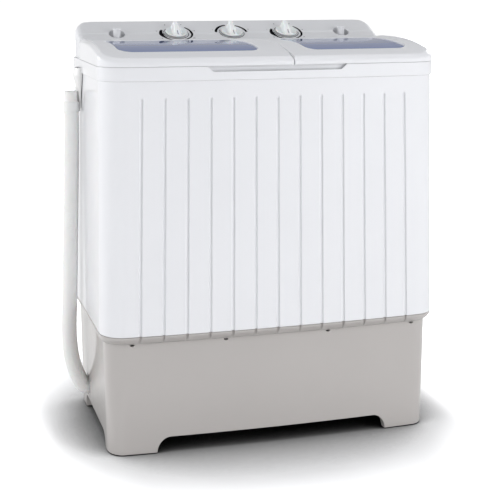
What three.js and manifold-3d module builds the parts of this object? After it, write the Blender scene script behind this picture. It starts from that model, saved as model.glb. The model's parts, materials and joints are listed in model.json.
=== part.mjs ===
// Compact twin tub washing machine: a wash tub on the left, a spin dryer on the right, two hinged lids,
// a sloping rear panel with three knobs and a drain hose that clips to the left wall.
// Millimetres, +Z up, +X to the right seen from the front, +Y to the back.
// The design frame has x = 0 on the middle of the cabinet and y = 0 on its front plane; the whole group is
// moved at the end so that the origin lies under the middle of the bounding box.
import * as THREE from 'three';
import { mergeVertices } from 'three/addons/utils/BufferGeometryUtils.js';
import Module from 'manifold-3d';

const wasm = await Module();
wasm.setup();

// ---------------------------------------------------------------- driving dimensions
const GAP = 0.3;                    // clearance between neighbouring pieces
const WALL = 3;                     // moulded plastic wall

const CABINET_WIDTH = 575;
const CABINET_DEPTH = 340;
const FRONT_BOW = 7.8;              // the front stands this far forward at mid width
const FRONT_CORNER = 42;
const REAR_CORNER = 34;
const DRAFT_TOP = -3.5;             // side inset of the cabinet at its top edge: it widens upward
const DRAFT_BOTTOM = 1;

const BASE_UNDERSIDE = 2.5;
const ARCH_TOP = 24;
const BASE_FLOOR = 34;
const FLANGE_BOTTOM = 175;
const CABINET_BOTTOM = 190;
const BAND_BOTTOM = 592;
const LID_SEAT = 615;
const LID_EDGE = 627;               // top of the upright part of the lid's skirt
const LID_CROWN = 652;
const PANEL_FOOT_Y = 249;
const PANEL_FOOT_Z = 642.5;
const PANEL_TOP_Y = 325;
const PANEL_INSET = 0.5;
const PANEL_EASE = 9;
const PANEL_SLOPE = THREE.MathUtils.degToRad(25);

const BASE_SIDE_INSET = 9;
const BASE_FRONT_INSET = 17;
const BASE_TAPER = 4;
const FOOT_INNER_X = 195;
const FOOT_END = 22;                // length of the quarter ellipse at each end of an arch
const SIDE_ARCH = [62, 268];

const GROOVE_PITCH = 37.8;
const GROOVES_EACH_SIDE = 6;
const GROOVE_WIDTH = 5.5;
const GROOVE_DEPTH = 2.4;
const GROOVE_TOP = 564;
const CABINET_WALL = 4.5;

const BAND_PROUD = 2.5;             // the top frame stands this far outside the cabinet
const HANDLE_HALF_TOP = 121;
const HANDLE_HALF_BOTTOM = 111;
const HANDLE_HEIGHT = 9;
const HANDLE_DEPTH = 15;

const LID_SPLIT = 27.5;             // x of the seam between the lids
const LID_GAP = 1;                  // half the width of that seam
const LID_REAR = 240;
const HINGE_Y = 243.5;
const HINGE_Z = 645;
const HINGE_BARREL = 3.2;
const HINGE_PIN = 1.5;
const WASH_WINDOW = [-256, -17, 34, 212];
const SPIN_WINDOW = [66, 255, 34, 212];
const WINDOW_CORNER = 28;
const LID_ROUND = 9;               // chamfer between the lid's sides and its crown

const WASH_TUB = [-268, 8, 18, 234];     // outer walls: x from, x to, y from, y to
const TUB_TOP = 605;
const WASH_TUB_BOTTOM = 228;
const TUB_CORNER = 52;
const PULSATOR_X = -130;
const PULSATOR_Y = 126;
const PULSATOR_RADIUS = 84;

const SPIN_X = 156;
const SPIN_Y = 124;
const SPIN_TUB_RADIUS = 109;
const SPIN_TUB_BOTTOM = 236;
const BASKET_RADIUS = 96;
const BASKET_BOTTOM = 262;
const BASKET_TOP = 566;

const BRAKE_PIVOT = [SPIN_X + 52, SPIN_Y - 62];

const PULLEY_Z = 128;
const WASH_PULLEY_RADIUS = 62;
const MOTOR_PULLEY_RADIUS = 15.5;
const WASH_MOTOR_X = -26;
const WASH_MOTOR_Y = 205;

const KNOB_XS = [-107, 0, 107];
const KNOB_RADIUS = 20;
const KNOB_SHAFT_RADIUS = 3;
const KNOB_Y = 282;
const INLET_X = 218;
const INLET_TOP = 667;
const INLET_BOTTOM = 620;
const INLET_RADIUS = 7;
const INLET_BORE = 4.8;
const CUP_RADIUS = 15;
const CUP_FLOOR = 642;

const HOSE_RADIUS = 13.9;
const HOSE_BORE = 10;
const HOSE_X = -307;
const HOSE_Y = 230;
const HOSE_EXIT = [-279, 235, 49];
const HOSE_COLLAR = [525, 541];
const HOSE_TIP = 560;

// ---------------------------------------------------------------- materials
const paint = (color, roughness, metalness = 0) => ({ color, roughness, metalness });
const WHITE_PLASTIC = paint(0xf3f4f6, 0.28);
const GREY_BASE = paint(0xb9b5b2, 0.35);
const PANEL_GREY = paint(0xc8c8cc, 0.4);
const WINDOW_BLUE = paint(0x9aa4c4, 0.15);
const KNOB_WHITE = paint(0xdfe3e4, 0.2);
const TUB_WHITE = paint(0xe9ebee, 0.35);
const HOSE_CREAM = paint(0xdededc, 0.45);
const BLACK_RUBBER = paint(0x2a2a2c, 0.8);
const STEEL = paint(0xb4b7ba, 0.35, 1);
const MOTOR_GREY = paint(0x5e646b, 0.45, 0.8);
const DARK_PLASTIC = paint(0x3c3f44, 0.5);
const BLUE_PULSATOR = paint(0x6f86b8, 0.35);

// ---------------------------------------------------------------- geometry helpers
function signedVolume(geometry) {
  const p = geometry.getAttribute('position');
  const index = geometry.getIndex();
  const a = new THREE.Vector3();
  const b = new THREE.Vector3();
  const c = new THREE.Vector3();
  let sum = 0;
  for (let i = 0; i < index.count; i += 3) {
    a.fromBufferAttribute(p, index.getX(i));
    b.fromBufferAttribute(p, index.getX(i + 1));
    c.fromBufferAttribute(p, index.getX(i + 2));
    sum += a.dot(b.cross(c));
  }
  return sum;
}

// A closed three.js geometry as a solid, with its faces turned outward.
function solid(geometry) {
  geometry.deleteAttribute('normal');
  geometry.deleteAttribute('uv');
  const merged = mergeVertices(geometry, 1e-4);
  const triVerts = Uint32Array.from(merged.getIndex().array);
  if (signedVolume(merged) < 0) {
    for (let i = 0; i < triVerts.length; i += 3) {
      [triVerts[i], triVerts[i + 1]] = [triVerts[i + 1], triVerts[i]];
    }
  }
  const vertProperties = Float32Array.from(merged.getAttribute('position').array);
  return new wasm.Manifold(new wasm.Mesh({ numProp: 3, vertProperties, triVerts }));
}

function surface(manifold) {
  const mesh = manifold.getMesh();
  const geometry = new THREE.BufferGeometry();
  geometry.setAttribute('position', new THREE.BufferAttribute(Float32Array.from(mesh.vertProperties), 3));
  geometry.setIndex(new THREE.BufferAttribute(Uint32Array.from(mesh.triVerts), 1));
  geometry.computeVertexNormals();
  return geometry;
}

const join = (...pieces) => pieces.reduce((sum, piece) => sum.add(piece));
const cut = (body, ...tools) => tools.reduce((rest, tool) => rest.subtract(tool), body);

function box(x0, x1, y0, y1, z0, z1) {
  const geometry = new THREE.BoxGeometry(x1 - x0, y1 - y0, z1 - z0);
  return solid(geometry.translate((x0 + x1) / 2, (y0 + y1) / 2, (z0 + z1) / 2));
}

// A round rod between two points.
function rod(radius, from, to, segments = 20) {
  const a = new THREE.Vector3(...from);
  const b = new THREE.Vector3(...to);
  const geometry = new THREE.CylinderGeometry(radius, radius, a.distanceTo(b), segments);
  const turn = new THREE.Quaternion();
  turn.setFromUnitVectors(new THREE.Vector3(0, 1, 0), b.clone().sub(a).normalize());
  geometry.applyQuaternion(turn);
  const middle = a.add(b).multiplyScalar(0.5);
  return solid(geometry.translate(middle.x, middle.y, middle.z));
}

const post = (radius, x, y, z0, z1, segments) => rod(radius, [x, y, z0], [x, y, z1], segments);

// A closed profile of [radius, z] points turned about a vertical axis.
function turned(profile, x, y, segments = 20) {
  const points = profile.map(([radius, z]) => new THREE.Vector2(radius, z));
  const geometry = new THREE.LatheGeometry(points, segments);
  return solid(geometry.rotateX(Math.PI / 2).translate(x, y, 0));
}

const polygon = (points) => new THREE.Shape(points.map(([a, b]) => new THREE.Vector2(a, b)));

function roundedRectangle(x0, x1, y0, y1, radius) {
  const shape = new THREE.Shape();
  shape.moveTo(x0 + radius, y0);
  shape.absarc(x1 - radius, y0 + radius, radius, -Math.PI / 2, 0);
  shape.absarc(x1 - radius, y1 - radius, radius, 0, Math.PI / 2);
  shape.absarc(x0 + radius, y1 - radius, radius, Math.PI / 2, Math.PI);
  shape.absarc(x0 + radius, y0 + radius, radius, Math.PI, Math.PI * 1.5);
  return shape;
}

const flat = (shape, depth, curveSegments) => (
  new THREE.ExtrudeGeometry(shape, { depth, bevelEnabled: false, curveSegments })
);

// Shapes drawn in the XY, YZ and XZ planes, pushed along the third axis.
function alongZ(shape, z0, z1, curveSegments = 3) {
  return solid(flat(shape, z1 - z0, curveSegments).translate(0, 0, z0));
}

function alongX(shape, x0, x1, curveSegments = 3) {
  const axes = new THREE.Matrix4().makeBasis(
    new THREE.Vector3(0, 1, 0), new THREE.Vector3(0, 0, 1), new THREE.Vector3(1, 0, 0));
  return solid(flat(shape, x1 - x0, curveSegments).applyMatrix4(axes).translate(x0, 0, 0));
}

function alongY(shape, y0, y1, curveSegments = 3) {
  const axes = new THREE.Matrix4().makeBasis(
    new THREE.Vector3(1, 0, 0), new THREE.Vector3(0, 0, 1), new THREE.Vector3(0, -1, 0));
  return solid(flat(shape, y1 - y0, curveSegments).applyMatrix4(axes).translate(0, y1, 0));
}

// A round section pushed along a smooth curve through the points.
function tube(points, radius, steps, sides = 12) {
  const path = new THREE.CatmullRomCurve3(points.map((p) => new THREE.Vector3(...p)));
  const section = new THREE.Shape();
  section.absarc(0, 0, radius, 0, Math.PI * 2);
  const options = { steps, extrudePath: path, bevelEnabled: false, curveSegments: sides / 2 };
  return solid(new THREE.ExtrudeGeometry(section, options));
}

// A closed skin through horizontal outlines, each given as { z, points } with the same number of points.
function loft(levels) {
  const count = levels[0].points.length;
  const positions = levels.flatMap(({ z, points }) => points.flatMap((p) => [p.x, p.y, z]));
  const index = [];
  for (let level = 0; level + 1 < levels.length; level += 1) {
    for (let i = 0; i < count; i += 1) {
      const next = (i + 1) % count;
      const low = level * count;
      const high = low + count;
      index.push(low + i, low + next, high + next);
      index.push(low + i, high + next, high + i);
    }
  }
  const top = (levels.length - 1) * count;
  for (const [a, b, c] of THREE.ShapeUtils.triangulateShape(levels[0].points, [])) {
    index.push(a, c, b);
  }
  for (const [a, b, c] of THREE.ShapeUtils.triangulateShape(levels[levels.length - 1].points, [])) {
    index.push(top + a, top + b, top + c);
  }
  const geometry = new THREE.BufferGeometry();
  geometry.setAttribute('position', new THREE.Float32BufferAttribute(positions, 3));
  geometry.setIndex(index);
  return solid(geometry);
}

// The plan of the cabinet, pulled in by the given insets: rounded corners and a bowed front.
function plan(side, front = side, rear = side) {
  const half = CABINET_WIDTH / 2 - side;
  const y0 = front;
  const y1 = CABINET_DEPTH - rear;
  const rf = FRONT_CORNER - Math.max(side, front) * 0.5;
  const rr = REAR_CORNER - Math.max(side, rear) * 0.5;
  const points = [];
  const bowSteps = 12;
  const run = half - rf;
  for (let i = 0; i <= bowSteps; i += 1) {
    const x = -run + (2 * run * i) / bowSteps;
    points.push(new THREE.Vector2(x, y0 - FRONT_BOW * (1 - (x / run) ** 2)));
  }
  const corner = (cx, cy, radius, start) => {
    const steps = 5;
    for (let i = start < 0 ? 1 : 0; i <= steps; i += 1) {
      const angle = start + (i / steps) * (Math.PI / 2);
      points.push(new THREE.Vector2(cx + radius * Math.cos(angle), cy + radius * Math.sin(angle)));
    }
  };
  corner(run, y0 + rf, rf, -Math.PI / 2);
  corner(half - rr, y1 - rr, rr, 0);
  corner(-half + rr, y1 - rr, rr, Math.PI / 2);
  corner(-run, y0 + rf, rf, Math.PI);
  points.pop();
  return points;
}

// y of the bowed front at a given x, for the cabinet's own outline.
function frontAt(x) {
  const run = CABINET_WIDTH / 2 - FRONT_CORNER;
  return -FRONT_BOW * (1 - (x / run) ** 2);
}

const grooveXs = () => {
  const count = 2 * GROOVES_EACH_SIDE + 1;
  return Array.from({ length: count }, (_, i) => (i - GROOVES_EACH_SIDE) * GROOVE_PITCH);
};

// The upright groove cutters of the front wall.
function grooveCutters(z0, z1, yShift) {
  return grooveXs().map((x) => {
    const y = frontAt(x) + yShift;
    return box(x - GROOVE_WIDTH / 2, x + GROOVE_WIDTH / 2, y - 12, y + GROOVE_DEPTH, z0, z1);
  });
}

const model = new THREE.Group();

function add(name, manifold, finish, parent = model) {
  const mesh = new THREE.Mesh(surface(manifold), new THREE.MeshStandardMaterial(finish));
  mesh.name = name;
  parent.add(mesh);
  return mesh;
}

// ---------------------------------------------------------------- casings
function baseArch(halfWidth, height) {
  const shape = new THREE.Shape();
  shape.moveTo(-halfWidth, -1);
  shape.lineTo(halfWidth, -1);
  shape.absellipse(halfWidth - FOOT_END, BASE_UNDERSIDE, FOOT_END, height - BASE_UNDERSIDE, 0, Math.PI / 2);
  shape.absellipse(-halfWidth + FOOT_END, BASE_UNDERSIDE, FOOT_END, height - BASE_UNDERSIDE,
    Math.PI / 2, Math.PI);
  return shape;
}

function makeBase() {
  const low = BASE_TAPER;
  const side = BASE_SIDE_INSET;
  const front = BASE_FRONT_INSET;
  const outer = loft([
    { z: BASE_UNDERSIDE, points: plan(side + low, front + low, front + low) },
    { z: FLANGE_BOTTOM, points: plan(side, front, front) },
    { z: CABINET_BOTTOM - GAP, points: plan(DRAFT_BOTTOM + 0.5) },
  ]);
  const inner = loft([
    { z: BASE_FLOOR, points: plan(side + low + WALL, front + low + WALL, front + low + WALL) },
    { z: FLANGE_BOTTOM, points: plan(side + WALL, front + WALL, front + WALL) },
    { z: CABINET_BOTTOM + 1, points: plan(DRAFT_BOTTOM + 0.5 + WALL) },
  ]);
  const under = loft([
    { z: 0, points: plan(side + low + 5, front + low + 5, front + low + 5) },
    { z: BASE_FLOOR - WALL, points: plan(side + low + 5, front + low + 5, front + low + 5) },
  ]);
  const legs = [-1, 1].flatMap((sx) => [-1, 1].map((sy) => {
    const x = sx * (FOOT_INNER_X + 36);
    const y = sy < 0 ? 46 : 290;
    return box(x - 36, x + 36, y - 28, y + 28, BASE_UNDERSIDE, BASE_FLOOR - 1);
  }));
  const sideArch = new THREE.Shape();
  sideArch.moveTo(SIDE_ARCH[0], -1);
  sideArch.lineTo(SIDE_ARCH[1], -1);
  sideArch.lineTo(SIDE_ARCH[1] - 14, ARCH_TOP);
  sideArch.lineTo(SIDE_ARCH[0] + 14, ARCH_TOP);
  const pads = padSpots().map(([x, y]) => post(14 + GAP, x, y, 0, 12 + GAP, 16));
  const [hx, hy, hz] = HOSE_EXIT;
  return cut(
    join(cut(outer, inner, under), join(...legs).intersect(outer)),
    alongY(baseArch(FOOT_INNER_X, ARCH_TOP), -20, CABINET_DEPTH + 20),
    alongX(sideArch, -320, 320),
    ...pads,
    ...grooveCutters(CABINET_BOTTOM - 8, CABINET_BOTTOM, DRAFT_BOTTOM),
    rod(HOSE_RADIUS + 2, [hx - 12, hy, hz + 3], [hx + 20, hy, hz - 5], 20),
    tube(hosePath().slice(0, 4), HOSE_RADIUS + 1.5, 5, 14),
    ...[[-152, 108], [116, 62]].map(([x, y]) => box(x, x + 82, y, y + 62, 20, BASE_FLOOR + 1)),
    rod(5, [-230, CABINET_DEPTH - 30, 60], [-230, CABINET_DEPTH + 5, 60], 16),
  );
}

const padSpots = () => [-1, 1].flatMap((sx) => [46, 290].map((y) => [sx * (FOOT_INNER_X + 34), y]));

function makeCabinet() {
  const skin = (inset, extra) => loft([
    { z: CABINET_BOTTOM - extra, points: plan(DRAFT_BOTTOM + inset, inset, inset) },
    { z: BAND_BOTTOM - GAP + extra, points: plan(DRAFT_TOP + inset, inset, inset) },
  ]);
  return cut(
    skin(0, 0), skin(CABINET_WALL, 1),
    ...grooveCutters(CABINET_BOTTOM - 1, GROOVE_TOP, 0),
    box(-215, 215, CABINET_DEPTH - 12, CABINET_DEPTH + 5, 205, 470),
  );
}

function makeRearCover() {
  const y = CABINET_DEPTH + GAP;
  const plate = alongY(roundedRectangle(-225, 225, 197, 480, 12), y, y + 2.5, 2);
  const louvres = Array.from({ length: 4 }, (_, i) => {
    const z = 235 + i * 20;
    return alongY(roundedRectangle(-90, 90, z, z + 6, 2.9), y - 1, y + 4, 1);
  });
  return cut(plate, ...louvres);
}

function handleRecess() {
  const shape = polygon([
    [-HANDLE_HALF_BOTTOM, LID_SEAT - HANDLE_HEIGHT], [HANDLE_HALF_BOTTOM, LID_SEAT - HANDLE_HEIGHT],
    [HANDLE_HALF_TOP, LID_SEAT + 1], [-HANDLE_HALF_TOP, LID_SEAT + 1],
  ]);
  return alongY(shape, -FRONT_BOW - 6, HANDLE_DEPTH - FRONT_BOW);
}

function makeTopFrame() {
  const side = DRAFT_TOP - BAND_PROUD;
  const outline = (inset) => plan(side + inset, inset - BAND_PROUD, inset - BAND_PROUD);
  const outer = loft([
    { z: BAND_BOTTOM, points: outline(0) },
    { z: LID_SEAT - GAP, points: outline(0) },
  ]);
  const inner = loft([
    { z: BAND_BOTTOM - 1, points: outline(WALL + 3) },
    { z: 606, points: outline(WALL + 3) },
  ]);
  const backing = box(-HANDLE_HALF_TOP - 4, HANDLE_HALF_TOP + 4, -FRONT_BOW - 1, HANDLE_DEPTH - FRONT_BOW + 3,
    LID_SEAT - HANDLE_HEIGHT - 3, LID_SEAT - 1);
  const [x0, x1, y0, y1] = WASH_TUB;
  return cut(
    join(cut(outer, inner), backing.intersect(outer)),
    handleRecess(),
    alongZ(roundedRectangle(x0 + 3, x1 - 3, y0 + 3, y1 - 3, TUB_CORNER - 3), 600, 620),
    post(SPIN_TUB_RADIUS - 5, SPIN_X, SPIN_Y, 600, 620, 28),
    box(-265, 265, 252, CABINET_DEPTH - 14, 600, 620),
  );
}

const panelHeight = (y) => PANEL_FOOT_Z + (y - PANEL_FOOT_Y) * Math.tan(PANEL_SLOPE);

// Cross-section of the rear panel housing, thinned by t.
function panelSection(t) {
  const rear = CABINET_DEPTH - 1.5 - t;
  const drop = t / Math.cos(PANEL_SLOPE);
  return polygon([
    [PANEL_FOOT_Y + t, LID_SEAT - (t > 0 ? 1 : 0)],
    [rear, LID_SEAT - (t > 0 ? 1 : 0)],
    [rear, panelHeight(PANEL_TOP_Y) - 10 - t * 0.4],
    [rear - 4, panelHeight(PANEL_TOP_Y) - 2 - t],
    [PANEL_TOP_Y, panelHeight(PANEL_TOP_Y) - drop],
    [PANEL_FOOT_Y + t, panelHeight(PANEL_FOOT_Y + t) - drop],
  ]);
}

// The rear panel housing: its plan follows the cabinet's rounded rear corners and its top edge is eased.
function panelBody(t) {
  const top = panelHeight(PANEL_TOP_Y);
  const outline = (inset) => plan(DRAFT_TOP + PANEL_INSET + t + inset, t, t + 1.5 + inset * 0.3);
  const block = loft([
    { z: LID_SEAT - 2, points: outline(0) },
    { z: top - PANEL_EASE, points: outline(0) },
    { z: top + 1, points: outline(PANEL_EASE) },
  ]);
  return block.intersect(alongX(panelSection(t), -320, 320));
}

// A rod square to the panel face at (x, KNOB_Y), from low to high along the face's normal.
function panelRod(radius, x, low, high, segments) {
  const normal = [0, -Math.sin(PANEL_SLOPE), Math.cos(PANEL_SLOPE)];
  const at = (h) => [x, KNOB_Y + normal[1] * h, panelHeight(KNOB_Y) + normal[2] * h];
  return rod(radius, at(low), at(high), segments);
}

const HINGE_XS = [[-272, -254], [2, -16], [53, 71], [272, 254]];   // panel lug end, lid knuckle end
const LUG_LENGTH = 8;

function hingeSpan(from, toward, length) {
  const end = from + Math.sign(toward - from) * length;
  return [Math.min(from, end), Math.max(from, end)];
}

function barrel(x0, x1) {
  return rod(HINGE_BARREL, [x0, HINGE_Y, HINGE_Z], [x1, HINGE_Y, HINGE_Z], 16);
}

const hingeBore = (radius) => rod(radius, [-290, HINGE_Y, HINGE_Z], [290, HINGE_Y, HINGE_Z], 12);

function makeControlPanel() {
  const lugs = HINGE_XS.map(([lug, knuckle]) => {
    const [x0, x1] = hingeSpan(lug, knuckle, LUG_LENGTH);
    const web = box(x0, x1, HINGE_Y, PANEL_FOOT_Y + 2, HINGE_Z - HINGE_BARREL, HINGE_Z - 2.2);
    return join(barrel(x0, x1), web.add(box(x0, x1, HINGE_Y, HINGE_Y + 2.4,
      HINGE_Z - HINGE_BARREL, HINGE_Z)));
  });
  const cups = [-INLET_X, INLET_X].map((x) => post(CUP_RADIUS, x, KNOB_Y, CUP_FLOOR, 700, 16));
  const housings = [-INLET_X, INLET_X].map((x) => (
    post(CUP_RADIUS + 2.5, x, KNOB_Y, CUP_FLOOR - 2.5, 680, 16)));
  const inside = panelBody(WALL);
  return cut(
    join(cut(panelBody(0), inside), ...housings.map((h) => h.intersect(panelBody(0))), ...lugs),
    ...cups,
    ...[-INLET_X, INLET_X].map((x) => post(INLET_RADIUS + GAP, x, KNOB_Y, 630, CUP_FLOOR + 1, 12)),
    ...KNOB_XS.map((x) => panelRod(5, x, -12, 12, 12)),
    box(35, 49, 245, 255, 626, 636),
    hingeBore(HINGE_PIN + 0.15),
  );
}

function makeWaterInlet(x) {
  return turned([[INLET_BORE, INLET_BOTTOM], [INLET_RADIUS, INLET_BOTTOM], [INLET_RADIUS, INLET_TOP],
    [INLET_BORE, INLET_TOP], [INLET_BORE, INLET_BOTTOM]], x, KNOB_Y, 16);
}

// ---------------------------------------------------------------- lids
// Height of the lid's upper skin at y.
const LID_PROFILE = [[-14, LID_EDGE], [4, LID_EDGE + 2.5], [36, 638], [85, 646.5], [118, 650.5],
  [150, LID_CROWN], [LID_REAR, LID_CROWN]];

function lidShape(yRear, lowered, floor) {
  const top = LID_PROFILE.map(([y, z]) => [Math.min(y, yRear), z - lowered]);
  return polygon([[-14, floor], [yRear, floor], ...top.reverse()]);
}

function lidBody(t) {
  const side = DRAFT_TOP - BAND_PROUD + t;
  const outline = (sideInset) => plan(side + sideInset, t - BAND_PROUD, 0);
  const floor = LID_SEAT - (t > 0 ? 1 : 0);
  const block = loft([
    { z: floor, points: outline(0) },
    { z: LID_CROWN - LID_ROUND, points: outline(0) },
    { z: LID_CROWN + 1, points: outline(LID_ROUND) },
  ]);
  return block.intersect(alongX(lidShape(LID_REAR - t, t, floor), -320, 320));
}

function lidHalf(body, x0, x1) {
  return body.intersect(box(x0, x1, -40, 400, 500, 700));
}

function windowPane(window, grow, top, bottom) {
  const [x0, x1, y0, y1] = window;
  const sheet = cut(
    alongX(lidShape(LID_REAR - 4, top, LID_SEAT + 1), x0 - grow, x1 + grow),
    alongX(lidShape(LID_REAR - 3, bottom, LID_SEAT), x0 - grow - 1, x1 + grow + 1),
  );
  return sheet.intersect(
    alongZ(roundedRectangle(x0 - grow, x1 + grow, y0 - grow, y1 + grow, WINDOW_CORNER + grow), 600, 700));
}

function makeLid(x0, x1, window, hinges) {
  const inner = lidHalf(lidBody(WALL), Math.max(x0 + WALL, -400), Math.min(x1 - WALL, 400));
  const knuckles = hinges.map(([lug, knuckle]) => {
    const start = lug + Math.sign(knuckle - lug) * (LUG_LENGTH + GAP);
    const [a, b] = hingeSpan(start, knuckle, LUG_LENGTH);
    return join(barrel(a, b), box(a, b, LID_REAR - 1, HINGE_Y, HINGE_Z - 2.5, HINGE_Z + 2.5));
  });
  const [wx0, wx1, wy0, wy1] = window;
  return cut(
    join(cut(lidHalf(lidBody(0), x0, x1), inner), ...knuckles),
    alongZ(roundedRectangle(wx0, wx1, wy0, wy1, WINDOW_CORNER), 625, 700),
    hingeBore(HINGE_PIN + 0.15),
  );
}

function makeHingePin([lug, knuckle]) {
  const [x0, x1] = hingeSpan(lug, knuckle, 2 * LUG_LENGTH + GAP);
  return rod(HINGE_PIN, [x0, HINGE_Y, HINGE_Z], [x1, HINGE_Y, HINGE_Z], 12);
}

// ---------------------------------------------------------------- wash side
function makeWashTub() {
  const [x0, x1, y0, y1] = WASH_TUB;
  const wall = (inset, z0, z1) => alongZ(
    roundedRectangle(x0 + inset, x1 - inset, y0 + inset, y1 - inset, TUB_CORNER - inset), z0, z1);
  const rim = alongZ(roundedRectangle(x0 - 5, x1 + 5, y0 - 5, y1 + 5, TUB_CORNER + 5), TUB_TOP - 3, TUB_TOP);
  return cut(
    join(wall(0, WASH_TUB_BOTTOM, TUB_TOP - 1), rim),
    wall(WALL, WASH_TUB_BOTTOM + WALL, TUB_TOP + 1),
    post(14, PULSATOR_X, PULSATOR_Y, WASH_TUB_BOTTOM - 1, WASH_TUB_BOTTOM + 5, 20),
    post(12, x1 - 30, y1 - 45, WASH_TUB_BOTTOM - 1, WASH_TUB_BOTTOM + 5, 16),
  );
}

function makeLintFilter() {
  const x = WASH_TUB[0] + WALL + GAP;
  const shape = roundedRectangle(96, 156, 300, 520, 10);
  const slots = Array.from({ length: 6 }, (_, i) => (
    box(x + 9, x + 20, 104, 148, 330 + i * 24, 338 + i * 24)));
  return cut(alongX(shape, x, x + 14, 2), box(x - 1, x + 11, 100, 152, 308, 512), ...slots);
}

function makePulsator() {
  const z = WASH_TUB_BOTTOM + WALL + 3;
  const disc = turned([[0, z], [PULSATOR_RADIUS, z], [PULSATOR_RADIUS + 2, z + 5], [PULSATOR_RADIUS - 12, z + 7],
    [26, z + 13], [20, z + 20], [0, z + 22]], PULSATOR_X, PULSATOR_Y, 28);
  const vane = polygon([[14, z + 4], [PULSATOR_RADIUS - 6, z + 4], [PULSATOR_RADIUS - 10, z + 14], [22, z + 26]]);
  const vanes = [0, 1, 2, 3].map((i) => (
    alongY(vane, -4.5, 4.5).rotate([0, 0, 90 * i + 20]).translate([PULSATOR_X, PULSATOR_Y, 0])));
  return cut(join(disc, ...vanes), post(6 + GAP, PULSATOR_X, PULSATOR_Y, z - 1, z + 14, 16));
}

function makePulsatorShaft() {
  return post(6, PULSATOR_X, PULSATOR_Y, PULLEY_Z - 18, WASH_TUB_BOTTOM + WALL + 15, 16);
}

// A ring of square section about a vertical axis.
function ring(x, y, inner, outer, z0, z1, segments) {
  return turned([[inner, z0], [outer, z0], [outer, z1], [inner, z1], [inner, z0]], x, y, segments);
}

function makePulsatorSeal() {
  return ring(PULSATOR_X, PULSATOR_Y, 6.2, 13.4, WASH_TUB_BOTTOM - 8, WASH_TUB_BOTTOM + 4, 20);
}

function makeBearingHousing() {
  const z = WASH_TUB_BOTTOM - GAP;
  return turned([[14.5, z], [38, z], [38, z - 6], [18, z - 12], [18, z - 62], [6.3, z - 62], [6.3, z - 10],
    [14.5, z - 10], [14.5, z]], PULSATOR_X, PULSATOR_Y, 24);
}

function makeWashPulley() {
  const r = WASH_PULLEY_RADIUS;
  const z = PULLEY_Z;
  return turned([[6.2, z - 12], [12, z - 12], [12, z - 4], [r - 8, z - 4], [r, z - 8], [r, z - 7], [r - 5, z],
    [r, z + 7], [r, z + 8], [r - 8, z + 4], [12, z + 4], [12, z + 12], [6.2, z + 12], [6.2, z - 12]],
  PULSATOR_X, PULSATOR_Y, 22);
}

function makeMotorPulley() {
  const r = MOTOR_PULLEY_RADIUS;
  const z = PULLEY_Z;
  return turned([[0, z - 12], [r - 2, z - 12], [r, z - 8], [r, z - 7], [r - 5, z], [r, z + 7], [r, z + 8],
    [0, z + 8]], WASH_MOTOR_X, WASH_MOTOR_Y, 20);
}

// The belt: the band between two hull outlines that wrap both pulleys.
function beltOutline(extra) {
  const a = new THREE.Vector2(PULSATOR_X, PULSATOR_Y);
  const b = new THREE.Vector2(WASH_MOTOR_X, WASH_MOTOR_Y);
  const ra = WASH_PULLEY_RADIUS + extra;
  const rb = MOTOR_PULLEY_RADIUS + extra;
  const run = b.clone().sub(a);
  const heading = run.angle();
  const lean = Math.acos((ra - rb) / run.length());
  const shape = new THREE.Shape();
  shape.absarc(a.x, a.y, ra, heading + lean, heading - lean + Math.PI * 2, false);
  shape.absarc(b.x, b.y, rb, heading - lean, heading + lean, false);
  return shape;
}

function makeBelt() {
  return cut(
    alongZ(beltOutline(4), PULLEY_Z - 3.5, PULLEY_Z + 3.5, 8),
    alongZ(beltOutline(GAP), PULLEY_Z - 4, PULLEY_Z + 4, 8),
  );
}

function makeWashMotor() {
  const x = WASH_MOTOR_X;
  const y = WASH_MOTOR_Y;
  return turned([[0, 48], [30, 48], [44, 54], [46, 62], [46, 92], [44, 98], [20, 102], [12, 104], [0, 104]],
    x, y, 20).add(post(5, x, y, 100, PULLEY_Z - 12 - GAP, 14));
}

function makeWashMotorBracket() {
  const x = WASH_MOTOR_X;
  const y = WASH_MOTOR_Y;
  const plate = alongZ(roundedRectangle(x - 52, x + 52, y - 52, y + 52, 10), BASE_FLOOR + GAP, 40, 2);
  const cradle = ring(x, y, 30.5, 38, 39, 47.5, 20);
  return cut(join(plate, cradle), post(24, x, y, 30, 44, 20));
}

// ---------------------------------------------------------------- spin side
function makeSpinTub() {
  const r = SPIN_TUB_RADIUS;
  return turned([[20, SPIN_TUB_BOTTOM], [r, SPIN_TUB_BOTTOM], [r, TUB_TOP - 3], [r + 5, TUB_TOP - 3],
    [r + 5, TUB_TOP], [r - WALL, TUB_TOP], [r - WALL, SPIN_TUB_BOTTOM + WALL], [20, SPIN_TUB_BOTTOM + WALL],
    [20, SPIN_TUB_BOTTOM]], SPIN_X, SPIN_Y, 30);
}

function makeSpinBasket() {
  const r = BASKET_RADIUS;
  const shell = turned([[9, BASKET_BOTTOM], [r - 6, BASKET_BOTTOM], [r, BASKET_BOTTOM + 6], [r, BASKET_TOP],
    [r - 12, BASKET_TOP + 5], [r - 12, BASKET_TOP + 2], [r - 3, BASKET_TOP - 3], [r - 3, BASKET_BOTTOM + 7],
    [r - 8, BASKET_BOTTOM + 3], [9, BASKET_BOTTOM + 3], [9, BASKET_BOTTOM]], SPIN_X, SPIN_Y, 28);
  const holes = [];
  for (let row = 0; row < 3; row += 1) {
    for (let i = 0; i < 6; i += 1) {
      const angle = ((i + (row % 2) * 0.5) / 6) * Math.PI * 2;
      const z = BASKET_BOTTOM + 70 + row * 80;
      const reach = r + 6;
      holes.push(rod(4, [SPIN_X + Math.cos(angle) * (r - 12), SPIN_Y + Math.sin(angle) * (r - 12), z],
        [SPIN_X + Math.cos(angle) * reach, SPIN_Y + Math.sin(angle) * reach, z], 6));
    }
  }
  return cut(shell, ...holes);
}

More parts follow.
